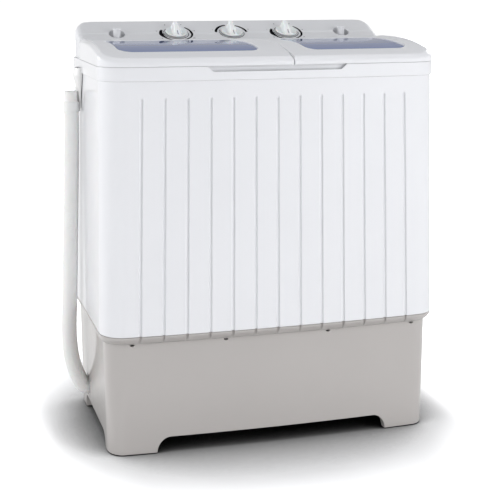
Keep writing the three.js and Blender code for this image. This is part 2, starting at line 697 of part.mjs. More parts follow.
function makeSpinPressDisc() {
  const z = BASKET_TOP - 26;
  return turned([[0, z], [BASKET_RADIUS - 5, z], [BASKET_RADIUS - 4, z + 3], [BASKET_RADIUS - 10, z + 5],
    [16, z + 5], [14, z + 14], [0, z + 14]], SPIN_X, SPIN_Y, 24);
}

function makeSpinShaft() {
  return turned([[0, 176 + GAP], [7, 176 + GAP], [7, BASKET_BOTTOM - 3], [24, BASKET_BOTTOM - 3],
    [24, BASKET_BOTTOM - GAP], [8.6, BASKET_BOTTOM - GAP], [8.6, BASKET_BOTTOM + 14], [0, BASKET_BOTTOM + 16]],
  SPIN_X, SPIN_Y, 18);
}

function makeSpinBellows() {
  const z = SPIN_TUB_BOTTOM - GAP;
  return turned([[7.4, z - 24], [17, z - 24], [17, z - 19], [25, z - 16], [17, z - 12], [25, z - 8], [19.6, z - 4],
    [30, z - 4], [30, z], [19.5, z], [19.5, z + 8], [7.4, z + 8], [7.4, z - 24]], SPIN_X, SPIN_Y, 20);
}

function makeBrakeDrum() {
  return turned([[0, 156], [12, 156], [12, 162], [46, 162], [46, 180], [42, 180], [42, 166], [12, 166],
    [12, 176], [0, 176]], SPIN_X, SPIN_Y, 20);
}

function makeBrakeArm() {
  const [px, py] = BRAKE_PIVOT;
  const arm = join(
    box(SPIN_X - 30, px, py - 4, py + 4, 164, 176),
    box(SPIN_X - 12, SPIN_X + 12, py + 2, py + 10, 163, 178),
    post(9, px, py, 160, 180, 16),
  );
  return cut(arm, post(4 + GAP, px, py, 155, 185, 12));
}

// The post the brake arm turns on, with a collar under the arm.
function makeBrakePost() {
  const [px, py] = BRAKE_PIVOT;
  return join(post(4, px, py, BASE_FLOOR + GAP, 184, 12), post(7, px, py, 150, 160 - GAP, 12));
}

function makeSpinMotor() {
  const base = turned([[0, 66], [36, 66], [52, 74], [54, 82], [54, 124], [52, 132], [30, 140], [14, 142],
    [0, 142]], SPIN_X, SPIN_Y, 20);
  return join(base, post(7, SPIN_X, SPIN_Y, 140, 156 - GAP, 16));
}

const springSpots = () => [90, 210, 330].map((degrees) => {
  const angle = THREE.MathUtils.degToRad(degrees);
  return [SPIN_X + 62 * Math.cos(angle), SPIN_Y + 62 * Math.sin(angle)];
});

function makeSpinMotorPlate() {
  const plate = ring(SPIN_X, SPIN_Y, 30, 72, 58, 62, 20);
  const collar = ring(SPIN_X, SPIN_Y, 30, 35, 61, 66 - GAP, 20);
  return join(plate, collar);
}

function makeSpring([x, y]) {
  const turns = 4;
  const points = [];
  const steps = turns * 7;
  for (let i = 0; i <= steps; i += 1) {
    const angle = (i / 7) * Math.PI * 2;
    const z = BASE_FLOOR + 2 + (i / steps) * 20;
    points.push([x + 7.5 * Math.cos(angle), y + 7.5 * Math.sin(angle), z]);
  }
  return tube(points, 1.4, steps, 4);
}

// ---------------------------------------------------------------- drainage
const VALVE_X = 18;
const VALVE_Y = 286;

function makeDrainValve() {
  const x = VALVE_X;
  const y = VALVE_Y;
  const body = turned([[0, 40], [22, 40], [24, 46], [24, 78], [20, 82], [0, 82]], x, y, 20);
  const chamber = post(14, x, y, 60, 90, 18);
  const inlet = rod(9, [x, y - 12, 52], [x, y - 44, 52], 16);
  const bore = rod(6, [x, y, 52], [x, y - 46, 52], 14);
  const outlet = rod(9, [x - 12, y, 52], [x - 44, y, 52], 16);
  const outletBore = rod(6, [x, y, 52], [x - 46, y, 52], 14);
  const seat = post(7, x, y, 46, 62, 14);
  return cut(join(body, inlet, outlet), chamber, bore, outletBore, seat);
}

function makeDrainPlunger() {
  return turned([[0, 61], [11, 61], [12, 64], [12, 70], [4, 74], [4, 118], [7, 120], [7, 124], [0, 124]],
    VALVE_X, VALVE_Y, 16);
}

function makeDrainOutlet() {
  const [hx, hy, hz] = HOSE_EXIT;
  const points = [[VALVE_X - 45, VALVE_Y, 52], [VALVE_X - 110, VALVE_Y - 2, 52], [-180, VALVE_Y - 18, 51],
    [hx + 50, hy + 4, hz - 1], [hx + 14, hy, hz - 2]];
  return cut(tube(points, 9.5, 12, 12), tube([
    [VALVE_X - 43, VALVE_Y, 52], ...points, [hx + 10, hy, hz - 2]], 6.5, 13, 10));
}

function hosePath() {
  const [x, y, z] = HOSE_EXIT;
  return [[x, y, z], [x - 9, y - 1, z + 22], [x - 19, y - 2, z + 58], [x - 26, y - 4, z + 98],
    [HOSE_X, HOSE_Y, z + 145], [HOSE_X, HOSE_Y, 330], [HOSE_X, HOSE_Y, 470], [HOSE_X, HOSE_Y, HOSE_TIP - 4]];
}

function makeDrainHose() {
  const path = hosePath();
  const outside = tube(path, HOSE_RADIUS - 1.2, 18, 14);
  const [z0, z1] = HOSE_COLLAR;
  const collar = post(HOSE_RADIUS, HOSE_X, HOSE_Y, z0 + 1, z1 - 1, 20);
  const spigot = post(HOSE_RADIUS - 1.5, HOSE_X, HOSE_Y, z1 - 4, HOSE_TIP, 20);
  const inside = [[HOSE_EXIT[0] + 2, HOSE_EXIT[1], HOSE_EXIT[2] - 5], ...path, [HOSE_X, HOSE_Y, HOSE_TIP + 6]];
  return cut(join(outside, collar, spigot), tube(inside, HOSE_BORE, 18, 10));
}

function makeHoseHanger() {
  const wall = -(CABINET_WIDTH / 2 - DRAFT_TOP) - 1.1;
  const [z0, z1] = HOSE_COLLAR;
  const profile = alongY(polygon([[wall, z0 - 4], [wall, BAND_BOTTOM - 1], [wall - 15, BAND_BOTTOM - 1],
    [wall - 15, BAND_BOTTOM - 15], [wall - 6, HOSE_TIP - 4], [wall - 4, z0 - 4]]), HOSE_Y - 24, HOSE_Y + 24);
  const taper = alongX(polygon([[HOSE_Y - 7, z0 - 4], [HOSE_Y + 7, z0 - 4], [HOSE_Y + 13, HOSE_TIP - 2],
    [HOSE_Y + 23, BAND_BOTTOM - 15], [HOSE_Y + 23, BAND_BOTTOM - 1], [HOSE_Y - 23, BAND_BOTTOM - 1],
    [HOSE_Y - 23, BAND_BOTTOM - 15], [HOSE_Y - 13, HOSE_TIP - 2]]), wall - 20, wall + 1);
  const pocket = alongY(polygon([[wall - 2, HOSE_TIP + 8], [wall - 2, BAND_BOTTOM + 1],
    [wall - 12.5, BAND_BOTTOM + 1], [wall - 12.5, BAND_BOTTOM - 15], [wall - 6, HOSE_TIP + 8]]),
  HOSE_Y - 15, HOSE_Y + 15);
  const bracket = cut(profile.intersect(taper), pocket);
  const clip = ring(HOSE_X, HOSE_Y, HOSE_RADIUS + 0.8, HOSE_RADIUS + 3.8, z0, z1, 28);
  const mouth = box(HOSE_X - 30, HOSE_X - 2, HOSE_Y - 22, HOSE_Y + 22, z0 - 1, z1 + 1);
  const inward = box(wall, wall + 20, HOSE_Y - 22, HOSE_Y + 22, z0 - 1, z1 + 1);
  return cut(join(bracket, cut(clip, mouth, inward)), post(HOSE_RADIUS + 0.8, HOSE_X, HOSE_Y, z0 - 10, HOSE_TIP + 8, 28));
}

// ---------------------------------------------------------------- controls
function panelGroup(x) {
  const group = new THREE.Group();
  group.position.set(x, KNOB_Y, panelHeight(KNOB_Y));
  group.rotation.x = PANEL_SLOPE;
  model.add(group);
  return group;
}

function makeKnob() {
  const disc = turned([[0, 1], [KNOB_RADIUS - 1, 1], [KNOB_RADIUS, 2.5], [KNOB_RADIUS - 1.5, 4.5], [0, 5.5]],
    0, 0, 28);
  const blade = alongX(polygon([[-17.5, 3], [18.5, 3], [17.5, 14], [12, 17], [-7, 12], [-16, 6]]), -6.5, 6.5);
  const taper = alongY(polygon([[-9, 0], [9, 0], [4, 20], [-4, 20]]), -30, 30);
  return cut(join(disc, blade.intersect(taper)), post(KNOB_SHAFT_RADIUS + GAP, 0, 0, 0, 9 + GAP, 12));
}

const makeKnobShaft = () => post(KNOB_SHAFT_RADIUS, 0, 0, -9, 9, 12);

function makeTimer(depth) {
  const body = alongZ(roundedRectangle(-21, 21, -16, 17, 4), -WALL - depth, -WALL - GAP, 2);
  return cut(body, post(KNOB_SHAFT_RADIUS + GAP, 0, 0, -9 - GAP, 0, 12));
}

function makePowerCord() {
  const y = CABINET_DEPTH - 26;
  const points = [[-230, y - 20, 60], [-230, y, 60], [-230, y + 18, 60], [-232, y + 30, 52], [-236, y + 30, 30],
    [-236, y + 31, 10], [-225, y + 32, 5], [-180, y + 32, 4.2], [-120, y + 31, 4.2]];
  const cord = tube(points, 3.6, 26, 8);
  const plug = box(-122, -96, y + 23, y + 39, 0.5, 12);
  const pins = [y + 27, y + 35].map((py) => rod(2, [-98, py, 6], [-84, py, 6], 10));
  return join(cord, plug, ...pins);
}

function makeCapacitor() {
  return rod(17, [-80, 60, 60], [-20, 60, 60], 20).add(box(-70, -30, 56, 64, BASE_FLOOR + GAP, 50));
}

function makeLidSwitch() {
  return box(34, 50, 252.5, 266, 622, 640).add(box(38, 46, 251, 256, 628, 634));
}

// ---------------------------------------------------------------- assembly
add('base', makeBase(), GREY_BASE);
add('cabinet', makeCabinet(), WHITE_PLASTIC);
add('top_frame', makeTopFrame(), WHITE_PLASTIC);
add('control_panel', makeControlPanel(), PANEL_GREY);
add('rear_cover', makeRearCover(), PANEL_GREY);
padSpots().forEach(([x, y], i) => add(`foot_pad_${i + 1}`, post(14, x, y, 0, 12, 16), BLACK_RUBBER));

const washHinges = HINGE_XS.slice(0, 2);
const spinHinges = HINGE_XS.slice(2);
add('wash_lid', makeLid(-400, LID_SPLIT - LID_GAP, WASH_WINDOW, washHinges), WHITE_PLASTIC);
add('wash_lid_window', windowPane(WASH_WINDOW, 7, WALL + GAP, WALL + GAP + 2.4), WINDOW_BLUE);
add('spin_lid', makeLid(LID_SPLIT + LID_GAP, 400, SPIN_WINDOW, spinHinges), WHITE_PLASTIC);
add('spin_lid_window', windowPane(SPIN_WINDOW, 7, WALL + GAP, WALL + GAP + 2.4), WINDOW_BLUE);
HINGE_XS.forEach((spot, i) => {
  const name = i < 2 ? `wash_lid_pin_${i + 1}` : `spin_lid_pin_${i - 1}`;
  add(name, makeHingePin(spot), STEEL);
});

add('wash_tub', makeWashTub(), TUB_WHITE);
add('lint_filter', makeLintFilter(), TUB_WHITE);
add('pulsator', makePulsator(), BLUE_PULSATOR);
add('pulsator_shaft', makePulsatorShaft(), STEEL);
add('pulsator_seal', makePulsatorSeal(), BLACK_RUBBER);
add('pulsator_bearing_housing', makeBearingHousing(), DARK_PLASTIC);
add('wash_pulley', makeWashPulley(), DARK_PLASTIC);
add('wash_motor_pulley', makeMotorPulley(), STEEL);
add('drive_belt', makeBelt(), BLACK_RUBBER);
add('wash_motor', makeWashMotor(), MOTOR_GREY);
add('wash_motor_bracket', makeWashMotorBracket(), STEEL);

add('spin_tub', makeSpinTub(), TUB_WHITE);
add('spin_basket', makeSpinBasket(), TUB_WHITE);
add('spin_press_disc', makeSpinPressDisc(), BLUE_PULSATOR);
add('spin_shaft', makeSpinShaft(), STEEL);
add('spin_bellows', makeSpinBellows(), BLACK_RUBBER);
add('brake_drum', makeBrakeDrum(), STEEL);
add('brake_arm', makeBrakeArm(), STEEL);
add('brake_arm_post', makeBrakePost(), STEEL);
add('spin_motor', makeSpinMotor(), MOTOR_GREY);
add('spin_motor_plate', makeSpinMotorPlate(), STEEL);
springSpots().forEach((spot, i) => add(`spin_motor_spring_${i + 1}`, makeSpring(spot), STEEL));

add('drain_valve_body', makeDrainValve(), DARK_PLASTIC);
add('drain_valve_plunger', makeDrainPlunger(), WHITE_PLASTIC);
add('drain_outlet', makeDrainOutlet(), BLACK_RUBBER);
add('drain_hose', makeDrainHose(), HOSE_CREAM);
add('hose_hanger', makeHoseHanger(), HOSE_CREAM);

['wash_timer', 'drain_selector', 'spin_timer'].forEach((name, i) => {
  const group = panelGroup(KNOB_XS[i]);
  add(`${name}_knob`, makeKnob(), KNOB_WHITE, group);
  add(`${name}_shaft`, makeKnobShaft(), STEEL, group);
  add(`${name}_body`, makeTimer(i === 1 ? 12 : 20), DARK_PLASTIC, group);
});
add('water_inlet_left', makeWaterInlet(-INLET_X), WHITE_PLASTIC);
add('water_inlet_right', makeWaterInlet(INLET_X), WHITE_PLASTIC);
add('power_cord', makePowerCord(), BLACK_RUBBER);
add('capacitor', makeCapacitor(), STEEL);
add('lid_switch', makeLidSwitch(), DARK_PLASTIC);

// Put the origin under the middle of the bounding box.
const group = new THREE.Group();
group.add(model);
group.updateMatrixWorld(true);
const bounds = new THREE.Box3().setFromObject(group);
model.position.set(-(bounds.min.x + bounds.max.x) / 2, -(bounds.min.y + bounds.max.y) / 2, -bounds.min.z);

export default group;
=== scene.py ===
import json
import math
import bmesh
import bpy
import numpy as np
from mathutils import Matrix, Vector


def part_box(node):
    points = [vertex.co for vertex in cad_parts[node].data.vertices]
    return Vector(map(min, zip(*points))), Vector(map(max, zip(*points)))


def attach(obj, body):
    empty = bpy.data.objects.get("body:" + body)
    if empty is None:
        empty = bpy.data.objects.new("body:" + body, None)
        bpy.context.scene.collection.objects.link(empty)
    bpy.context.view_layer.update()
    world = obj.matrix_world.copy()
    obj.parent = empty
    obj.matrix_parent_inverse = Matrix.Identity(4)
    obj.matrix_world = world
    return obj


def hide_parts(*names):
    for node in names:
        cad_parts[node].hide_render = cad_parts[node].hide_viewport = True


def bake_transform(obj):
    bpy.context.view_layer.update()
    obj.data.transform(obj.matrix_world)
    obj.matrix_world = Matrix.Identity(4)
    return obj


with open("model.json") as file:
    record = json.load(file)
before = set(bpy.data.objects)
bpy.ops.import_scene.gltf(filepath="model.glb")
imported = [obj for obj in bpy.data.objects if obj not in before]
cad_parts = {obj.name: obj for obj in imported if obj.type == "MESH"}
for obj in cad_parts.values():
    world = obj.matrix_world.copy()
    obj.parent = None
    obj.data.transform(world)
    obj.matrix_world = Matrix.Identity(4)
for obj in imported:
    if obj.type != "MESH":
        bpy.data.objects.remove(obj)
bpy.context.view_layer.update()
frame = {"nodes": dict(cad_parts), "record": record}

# ---- design frame
# Shapes are written in millimetres: x = 0 on the middle of the cabinet, y = 0 on its front plane, z = 0 on
# the floor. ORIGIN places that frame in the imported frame, in metres.
MM = 0.001
CABINET_DEPTH = 340.0
cabinet_low, cabinet_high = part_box("cabinet")
ORIGIN = Vector(((cabinet_low.x + cabinet_high.x) / 2, cabinet_high.y - CABINET_DEPTH * MM, 0.0))


def spot(part):
    """Lowest and highest corner of a CAD node, in the design frame."""
    low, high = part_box(part)
    return np.array((low - ORIGIN) / MM), np.array((high - ORIGIN) / MM)


def centre(part):
    low, high = spot(part)
    return (low + high) / 2


def upright(part):
    """x and y of a round CAD node's axis, then its lowest and highest z."""
    low, high = spot(part)
    return *centre(part)[:2], low[2], high[2]


# ---- driving dimensions
SEAM = 0.3                          # gap between one casing and the next
HALF_WIDTH = 287.5                  # of the cabinet before draft
BOW = 7.8                           # the front stands this far forward at mid width
RUN = 245.5                         # half of the bowed stretch of the front
FRONT_CORNER = 42.0
REAR_RUN = 253.5
REAR_CORNER = 34.0
DRAFT_BOTTOM, DRAFT_TOP = 1.0, -3.5
CABINET_BOTTOM = spot("cabinet")[0][2]
BAND_BOTTOM = spot("top_frame")[0][2]
LID_SEAT = spot("wash_lid")[0][2]
BAND_PROUD = 2.5
CABINET_WALL = 4.5

GROOVE_PITCH = 37.8
GROOVES_EACH_SIDE = 6
GROOVE_XS = (np.arange(2 * GROOVES_EACH_SIDE + 1) - GROOVES_EACH_SIDE) * GROOVE_PITCH
GROOVE_LEFT, GROOVE_RIGHT = 4.2, 2.6       # reach of a groove to either side of its middle
GROOVE_LEFT_RAMP, GROOVE_RIGHT_RAMP = 3.6, 1.7
GROOVE_DEPTH = 2.6
GROOVE_TOP = 566.0
GROOVE_FADE = 6.0

BASE_SIDE, BASE_FRONT = 9.0, 17.0   # how far the base's top stands back from the cabinet's plan
BASE_TAPER, BASE_LEAN = 4.0, 4.0    # how much more its foot does: all round, and at the sides
BASE_WALL = 3.5
BASE_UNDERSIDE = 1.4
BASE_FLOOR = 34.0
FOOT_DEPTH = 16.0
FLANGE_BOTTOM = 175.0
FLANGE_EDGE = 1.2                   # inset of the flange's top from the cabinet's plan
FLANGE_COVE = 2.0                   # 1 is a straight slope; above that it is hollow and ends upright
FLANGE_NOTCH = 3.4                  # depth of the grooves where they run on into the flange
ARCH_TOP = 25.5
ARCH_HALF = 195.0
ARCH_END = 22.0
SIDE_ARCH = (62.0, 268.0)

LID_SPLIT = 27.5
LID_GAP = 0.5
LID_REAR = 240.0
LID_CROWN = spot("wash_lid")[1][2]
LID_WALL = 2.6
RING_WIDTH, RING_DROP = 7.5, 5.5    # the chamfer round the lids' front and sides
BAND_HALF = HALF_WIDTH - DRAFT_TOP + BAND_PROUD      # half-width of the lids and the band
LID_CORNER = (BAND_HALF - RUN, FRONT_CORNER + BAND_PROUD / 2)
CROWN_FALL, CROWN_POWER, CROWN_START = 0.00539, 1.66, 157.7
DISH_DEPTH, DISH_FRONT, DISH_RUN = 4.6, 45.0, 115.0  # the lids are lower between their outer borders
WINDOWS = {"wash": (-256.0, -17.0, 40.0, 212.0), "spin": (66.0, 255.0, 40.0, 212.0)}
WINDOW_CORNER, WINDOW_INNER_CORNER = 26.0, 20.0
PANE_TILT = 0.019                   # the panes lie a little deeper at the front
HINGE_Y, HINGE_Z = centre("wash_lid_pin_1")[1:]
HINGES = {"wash": ((-272, -254), (2, -16)), "spin": ((53, 71), (272, 254))}  # x of lugs and knuckles
HINGE_RADIUS = 2.8
LUG_LENGTH = 8.0

PANEL_FOOT = (249.0, 642.5)         # y, z of the panel face at its lower edge
PANEL_CREASE = (282.0, 656.5)
PANEL_TOP = (325.0, 678.0)
PANEL_HALF = 290.5
PANEL_REAR = 338.5
PANEL_ROUND = 12.0
PANEL_CORNER = (37.0, 34.0)
KNOB_RADIUS = 20.0
KNOB_SLOPE = math.radians(25)
KNOB_TURN = Matrix.Rotation(KNOB_SLOPE, 4, "X")
KNOB_NAMES = ("wash_timer", "drain_selector", "spin_timer")
INLET_Y = centre("water_inlet_left")[1]
CUP_RADIUS = 15.0
CUP_FLOOR = 642.0

HOSE_EXIT = (-279.0, 235.0, 49.0)
HOSE_X = -307.0
HOSE_RADIUS = 13.8
HOSE_BORE = 10.0
HOSE_PITCH = 3.4
COLLAR = (525.0, 541.0)             # z of the collar the hanger's clip holds
PULSATOR_RADIUS = 86.0
BASKET_RADIUS = 96.0
CORD_HEIGHT = 60.0
ROOT = "root"


# ---- materials
DRIFT_SCALE, GLOSS_SCALE = 7.0, 60.0       # of the noise in the colour and in the gloss, per metre
NOISE_MIDDLE = (0.3, 0.7)                  # the part of 0..1 that noise mostly keeps to
# reach in metres of the painted shade that ambient occlusion puts into crevices
CREVICE_SHADE_REACH = 0.012
GRAIN_DEPTH = 0.0004


def feed(tree, made, inputs):
    """Sets a node's inputs: a socket is linked to one, anything else becomes its value."""
    for key, value in inputs.items():
        if isinstance(value, bpy.types.NodeSocket):
            tree.links.new(value, made.inputs[key])
        else:
            made.inputs[key].default_value = value
    return made


def node(tree, kind, inputs={}, **settings):
    made = tree.nodes.new("ShaderNode" + kind)
    for key, value in settings.items():
        setattr(made, key, value)
    return feed(tree, made, inputs)


def noise(tree, place, scale, detail=3.0):
    return node(tree, "TexNoise", {"Vector": place, "Scale": scale, "Detail": detail}).outputs["Fac"]


def remap(tree, value, start, end, low, high):
    """Maps start..end to low..high."""
    ends = {"From Min": start, "From Max": end, "To Min": low, "To Max": high}
    return node(tree, "MapRange", {"Value": value, **ends}).outputs["Result"]


def scaled(tree, vector, factor):
    return node(tree, "VectorMath", {0: vector, "Scale": factor}, operation="SCALE").outputs["Vector"]


def worked_out(tree, operation, *values):
    return node(tree, "Math", dict(enumerate(values)), operation=operation).outputs["Value"]


def finish(name, color, roughness, grain=0.0, grain_scale=1500.0, blotch=0.02, crevice_shade=0.3, **inputs):
    """A moulded or metal finish: colour drift, painted shade in crevices (ambient occlusion darkens the
    colour), uneven gloss and a fine surface grain.
    """
    made = bpy.data.materials.new(name)
    made.use_nodes = True
    tree = made.node_tree
    place = node(tree, "TexCoord").outputs["Object"]
    drift = remap(tree, noise(tree, place, DRIFT_SCALE), *NOISE_MIDDLE, 1 - blotch, 1 + blotch)
    # painted shade: ambient occlusion darkens the colour in crevices, by the given share
    hollow = node(tree, "AmbientOcclusion", {"Distance": CREVICE_SHADE_REACH}, samples=6)
    light = remap(tree, hollow.outputs["AO"], 0, 1, 1 - crevice_shade, 1)
    gloss = remap(tree, noise(tree, place, GLOSS_SCALE), *NOISE_MIDDLE, roughness * 0.88, roughness * 1.12)
    height = noise(tree, place, grain_scale, 2.0)
    bump = node(tree, "Bump", {"Strength": grain, "Distance": GRAIN_DEPTH, "Height": height})
    feed(tree, tree.nodes["Principled BSDF"], {
        "Base Color": scaled(tree, scaled(tree, color, drift), light), "Roughness": gloss,
        "Normal": bump.outputs["Normal"], **{key.replace("_", " "): inputs[key] for key in inputs}})
    return made


FINISHES = {
    "white_gloss": finish("moulded_white", (0.825, 0.83, 0.855), 0.32, blotch=0.006, crevice_shade=0.03,
                          Coat_Weight=0.8, Coat_Roughness=0.06),
    "lid_top": finish("lid_top_grey", (0.85, 0.855, 0.88), 0.34, blotch=0.01,
                      Specular_IOR_Level=0.35),
    "base_grey": finish("base_warm_grey", (0.475, 0.45, 0.435), 0.32, blotch=0.015, crevice_shade=0.18,
                        Coat_Weight=0.8, Coat_Roughness=0.06),
    "panel_grey": finish("panel_satin_grey", (0.735, 0.74, 0.76), 0.38, grain=0.09, grain_scale=2200.0,
                         Coat_Weight=0.1, Coat_Roughness=0.3),
    "window_blue": finish("window_acrylic", (0.17, 0.225, 0.43), 0.07, blotch=0.03, crevice_shade=0.35,
                          Specular_IOR_Level=0.3),
    "knob_white": finish("knob_frosted", (0.86, 0.885, 0.885), 0.2, grain=0.02, crevice_shade=0.2,
                         Subsurface_Weight=0.15, Subsurface_Scale=0.003,
                         Coat_Weight=0.6, Coat_Roughness=0.06),
    "tub_white": finish("tub_polypropylene", (0.80, 0.82, 0.85), 0.36, grain=0.05, blotch=0.02,
                        Subsurface_Weight=0.1, Subsurface_Scale=0.003),
    "pulsator_blue": finish("pulsator_polypropylene", (0.17, 0.24, 0.47), 0.34, grain=0.06, blotch=0.04),
    "hose_cream": finish("hose_satin", (0.885, 0.88, 0.865), 0.42, grain=0.03, blotch=0.015, crevice_shade=0.12,
                         Subsurface_Weight=0.1, Subsurface_Scale=0.003),
    "hanger_cream": finish("hanger_plastic", (0.86, 0.86, 0.85), 0.32, crevice_shade=0.25,
                           Coat_Weight=0.4, Coat_Roughness=0.1),
    "black_rubber": finish("rubber_black", (0.025, 0.025, 0.027), 0.75, grain=0.35, grain_scale=900.0,
                           blotch=0.15),
    "dark_plastic": finish("plastic_charcoal", (0.03, 0.033, 0.037), 0.5, grain=0.2, blotch=0.08),
    "steel": finish("zinc_steel", (0.56, 0.57, 0.58), 0.3, grain=0.15, grain_scale=700.0, blotch=0.08,
                    Metallic=1.0),
    "motor_grey": finish("motor_paint", (0.09, 0.1, 0.115), 0.45, grain=0.3, grain_scale=600.0, blotch=0.1,
                         Metallic=0.3),
    "aluminium": finish("aluminium_can", (0.72, 0.73, 0.74), 0.28, grain=0.1, grain_scale=500.0, blotch=0.05,
                        Metallic=1.0),
    "print_black": finish("dial_ink", (0.008, 0.008, 0.01), 0.9, blotch=0.1, crevice_shade=0.0,
                          Specular_IOR_Level=0.0),
    "print_grey": finish("dial_ink_grey", (0.14, 0.145, 0.16), 0.9, blotch=0.1, crevice_shade=0.0,
                         Specular_IOR_Level=0.0),
}


# ---- mesh helpers
def eased(share):
    """0..1 again, with a gentle start and end."""
    return share * share * (3 - 2 * share)


def arc(cx, cy, rx, ry, start, sweep, steps):
    """Points of an elliptical arc, both ends included; angles in degrees."""
    angle = np.radians(np.linspace(start, start + sweep, steps + 1))
    return np.column_stack([cx + rx * np.cos(angle), cy + ry * np.sin(angle)])


def circle(cx, cy, radius, steps):
    return arc(cx, cy, radius, radius, 0, 360, steps)[:-1]


def soften(points, radius, steps=4, closed=True):
    """Rounds the corners of a polyline; radius is one number or one for each point."""
    points = np.asarray(points, float)
    count = len(points)
    radii = np.broadcast_to(radius, count)
    out = []
    for i, p in enumerate(points):
        if not closed and i in (0, count - 1):
            out.append(p)
            continue
        a, b = points[i - 1] - p, points[(i + 1) % count] - p
        la, lb = np.linalg.norm(a), np.linalg.norm(b)
        reach = min(radii[i], 0.49 * la, 0.49 * lb)
        if reach < 1e-6:
            out.append(p)
            continue
        start, end = p + a / la * reach, p + b / lb * reach
        for t in np.linspace(0, 1, steps + 1):
            out.append((1 - t) ** 2 * start + 2 * t * (1 - t) * p + t ** 2 * end)
    return np.array(out)


def level(outline, z):
    """A plan outline lifted to height z, which is one number or one for each point."""
    return np.column_stack([outline, np.broadcast_to(z, len(outline))])


def loft(rows, ring=False, caps=True):
    """Skin between closed rows of equal length; ring joins its ends, else caps close them."""
    size, count = len(rows[0]), len(rows)
    faces = []
    for r in range(count if ring else count - 1):
        a, b = r * size, ((r + 1) % count) * size
        faces += [(a + i, a + (i + 1) % size, b + (i + 1) % size, b + i) for i in range(size)]
    if caps and not ring:
        faces += [tuple(range(size)), tuple(range((count - 1) * size, count * size))]
    return np.vstack(rows), faces


def turned(profile, x=0.0, y=0.0, steps=72, closed=False):
    """Skin of [radius, z] points turned about an upright axis at x, y; closed joins its ends into a ring."""
    angle = np.linspace(0, 2 * np.pi, steps, endpoint=False)
    rows = [np.column_stack([x + r * np.cos(angle), y + r * np.sin(angle), np.full(steps, z)])
            for r, z in profile]
    return loft(rows, ring=closed, caps=False)


def prism(outline, axis, low, high):
    """A 2-D outline pushed along an axis: drawn in YZ for "x", in XZ for "y" and in XY for "z"."""
    outline = np.asarray(outline, float)
    order = {"x": (2, 0, 1), "y": (0, 2, 1), "z": (0, 1, 2)}[axis]
    return loft([level(outline, depth)[:, order] for depth in (low, high)])


def rounded_rectangle(x0, x1, y0, y1, r, steps=8):
    return np.vstack([arc(x1 - r, y0 + r, r, r, -90, 90, steps), arc(x1 - r, y1 - r, r, r, 0, 90, steps),
                      arc(x0 + r, y1 - r, r, r, 90, 90, steps), arc(x0 + r, y0 + r, r, r, 180, 90, steps)])


def smooth_path(points, per_span):
    """Centripetal Catmull-Rom curve through the points."""
    p = np.asarray(points, float)
    p = np.vstack([2 * p[0] - p[1], p, 2 * p[-1] - p[-2]])
    out = []
    for i in range(1, len(p) - 2):
        near = p[i - 1:i + 3]
        knots = [0.0]
        for a, b in zip(near, near[1:]):
            knots.append(knots[-1] + math.sqrt(np.linalg.norm(b - a)))
        for t in np.linspace(knots[1], knots[2], per_span, endpoint=False):
            mix = near
            for reach in (1, 2):
                mix = [((knots[k + reach] - t) * a + (t - knots[k]) * b) / (knots[k + reach] - knots[k])
                       for k, (a, b) in enumerate(zip(mix, mix[1:]))]
            share = (t - knots[1]) / (knots[2] - knots[1])
            out.append((1 - share) * mix[0] + share * mix[1])
    out.append(p[-2])
    return np.array(out)


def respaced(path, step):
    """The path again with points an even step apart, and the length run up to each of them."""
    run = np.concatenate([[0], np.cumsum(np.linalg.norm(np.diff(path, axis=0), axis=1))])
    marks = np.linspace(0, run[-1], max(2, int(round(run[-1] / step)) + 1))
    return np.column_stack([np.interp(marks, run, path[:, k]) for k in range(3)]), marks


def sweep_rows(path, radii, sides=24):
    """Round rows along a path, turned as little as possible from one to the next."""
    tangent = np.gradient(path, axis=0)
    tangent /= np.linalg.norm(tangent, axis=1)[:, None]
    side = np.cross(tangent[0], [0.0, 1.0, 0.0])
    if np.linalg.norm(side) < 0.1:
        side = np.cross(tangent[0], [1.0, 0.0, 0.0])
    angle = np.linspace(0, 2 * np.pi, sides, endpoint=False)
    rows = []
    for p, t, r in zip(path, tangent, np.broadcast_to(radii, len(path))):
        side = side - t * (side @ t)
        side /= np.linalg.norm(side)
        rows.append(p + r * (np.outer(np.cos(angle), side) + np.outer(np.sin(angle), np.cross(t, side))))
    return rows


def rod(a, b, radius, sides=32, bite=0.6):
    """A round bar between two points with eased ends."""
    a, b = np.asarray(a, float), np.asarray(b, float)
    along = (b - a) / np.linalg.norm(b - a)
    unit = (sweep_rows(np.array([a, b]), radius, sides)[0] - a) / radius
    ends = [(0, bite), (bite * 0.3, bite * 0.3), (bite, 0)]
    rows = [a + along * step + unit * (radius - less) for step, less in ends]
    return loft(rows + [b - along * step + unit * (radius - less) for step, less in ends[::-1]])


def moved(solid, shift, turn=None):
    verts, faces = solid
    if turn is not None:
        verts = verts @ np.array(turn.to_3x3()).T
    return verts + np.asarray(shift, float), faces


def joined(*solids):
    verts, faces, start = [], [], 0
    for v, f in solids:
        verts.append(v)
        faces += [tuple(i + start for i in face) for face in f]
        start += len(v)
    return np.vstack(verts), faces


def raw_object(name, solid):
    """A mesh object from a solid in design millimetres, with doubles merged and faces turned outward."""
    verts, faces = solid
    mesh = bpy.data.meshes.new(name)
    mesh.from_pydata((verts * MM + np.array(ORIGIN)).tolist(), [], faces)
    work = bmesh.new()
    work.from_mesh(mesh)
    bmesh.ops.remove_doubles(work, verts=work.verts, dist=1e-6)
    bmesh.ops.dissolve_degenerate(work, edges=work.edges, dist=1e-7)
    bmesh.ops.recalc_face_normals(work, faces=work.faces)
    work.to_mesh(mesh)
    work.free()
    made = bpy.data.objects.new(name, mesh)
    bpy.context.scene.collection.objects.link(made)
    return made


def add_islands(obj, *solids):
    """Adds closed shells to the object's mesh."""
    extra = raw_object("extra", joined(*solids))
    work = bmesh.new()
    work.from_mesh(obj.data)
    work.from_mesh(extra.data)
    work.to_mesh(obj.data)
    work.free()
    bpy.data.meshes.remove(extra.data)


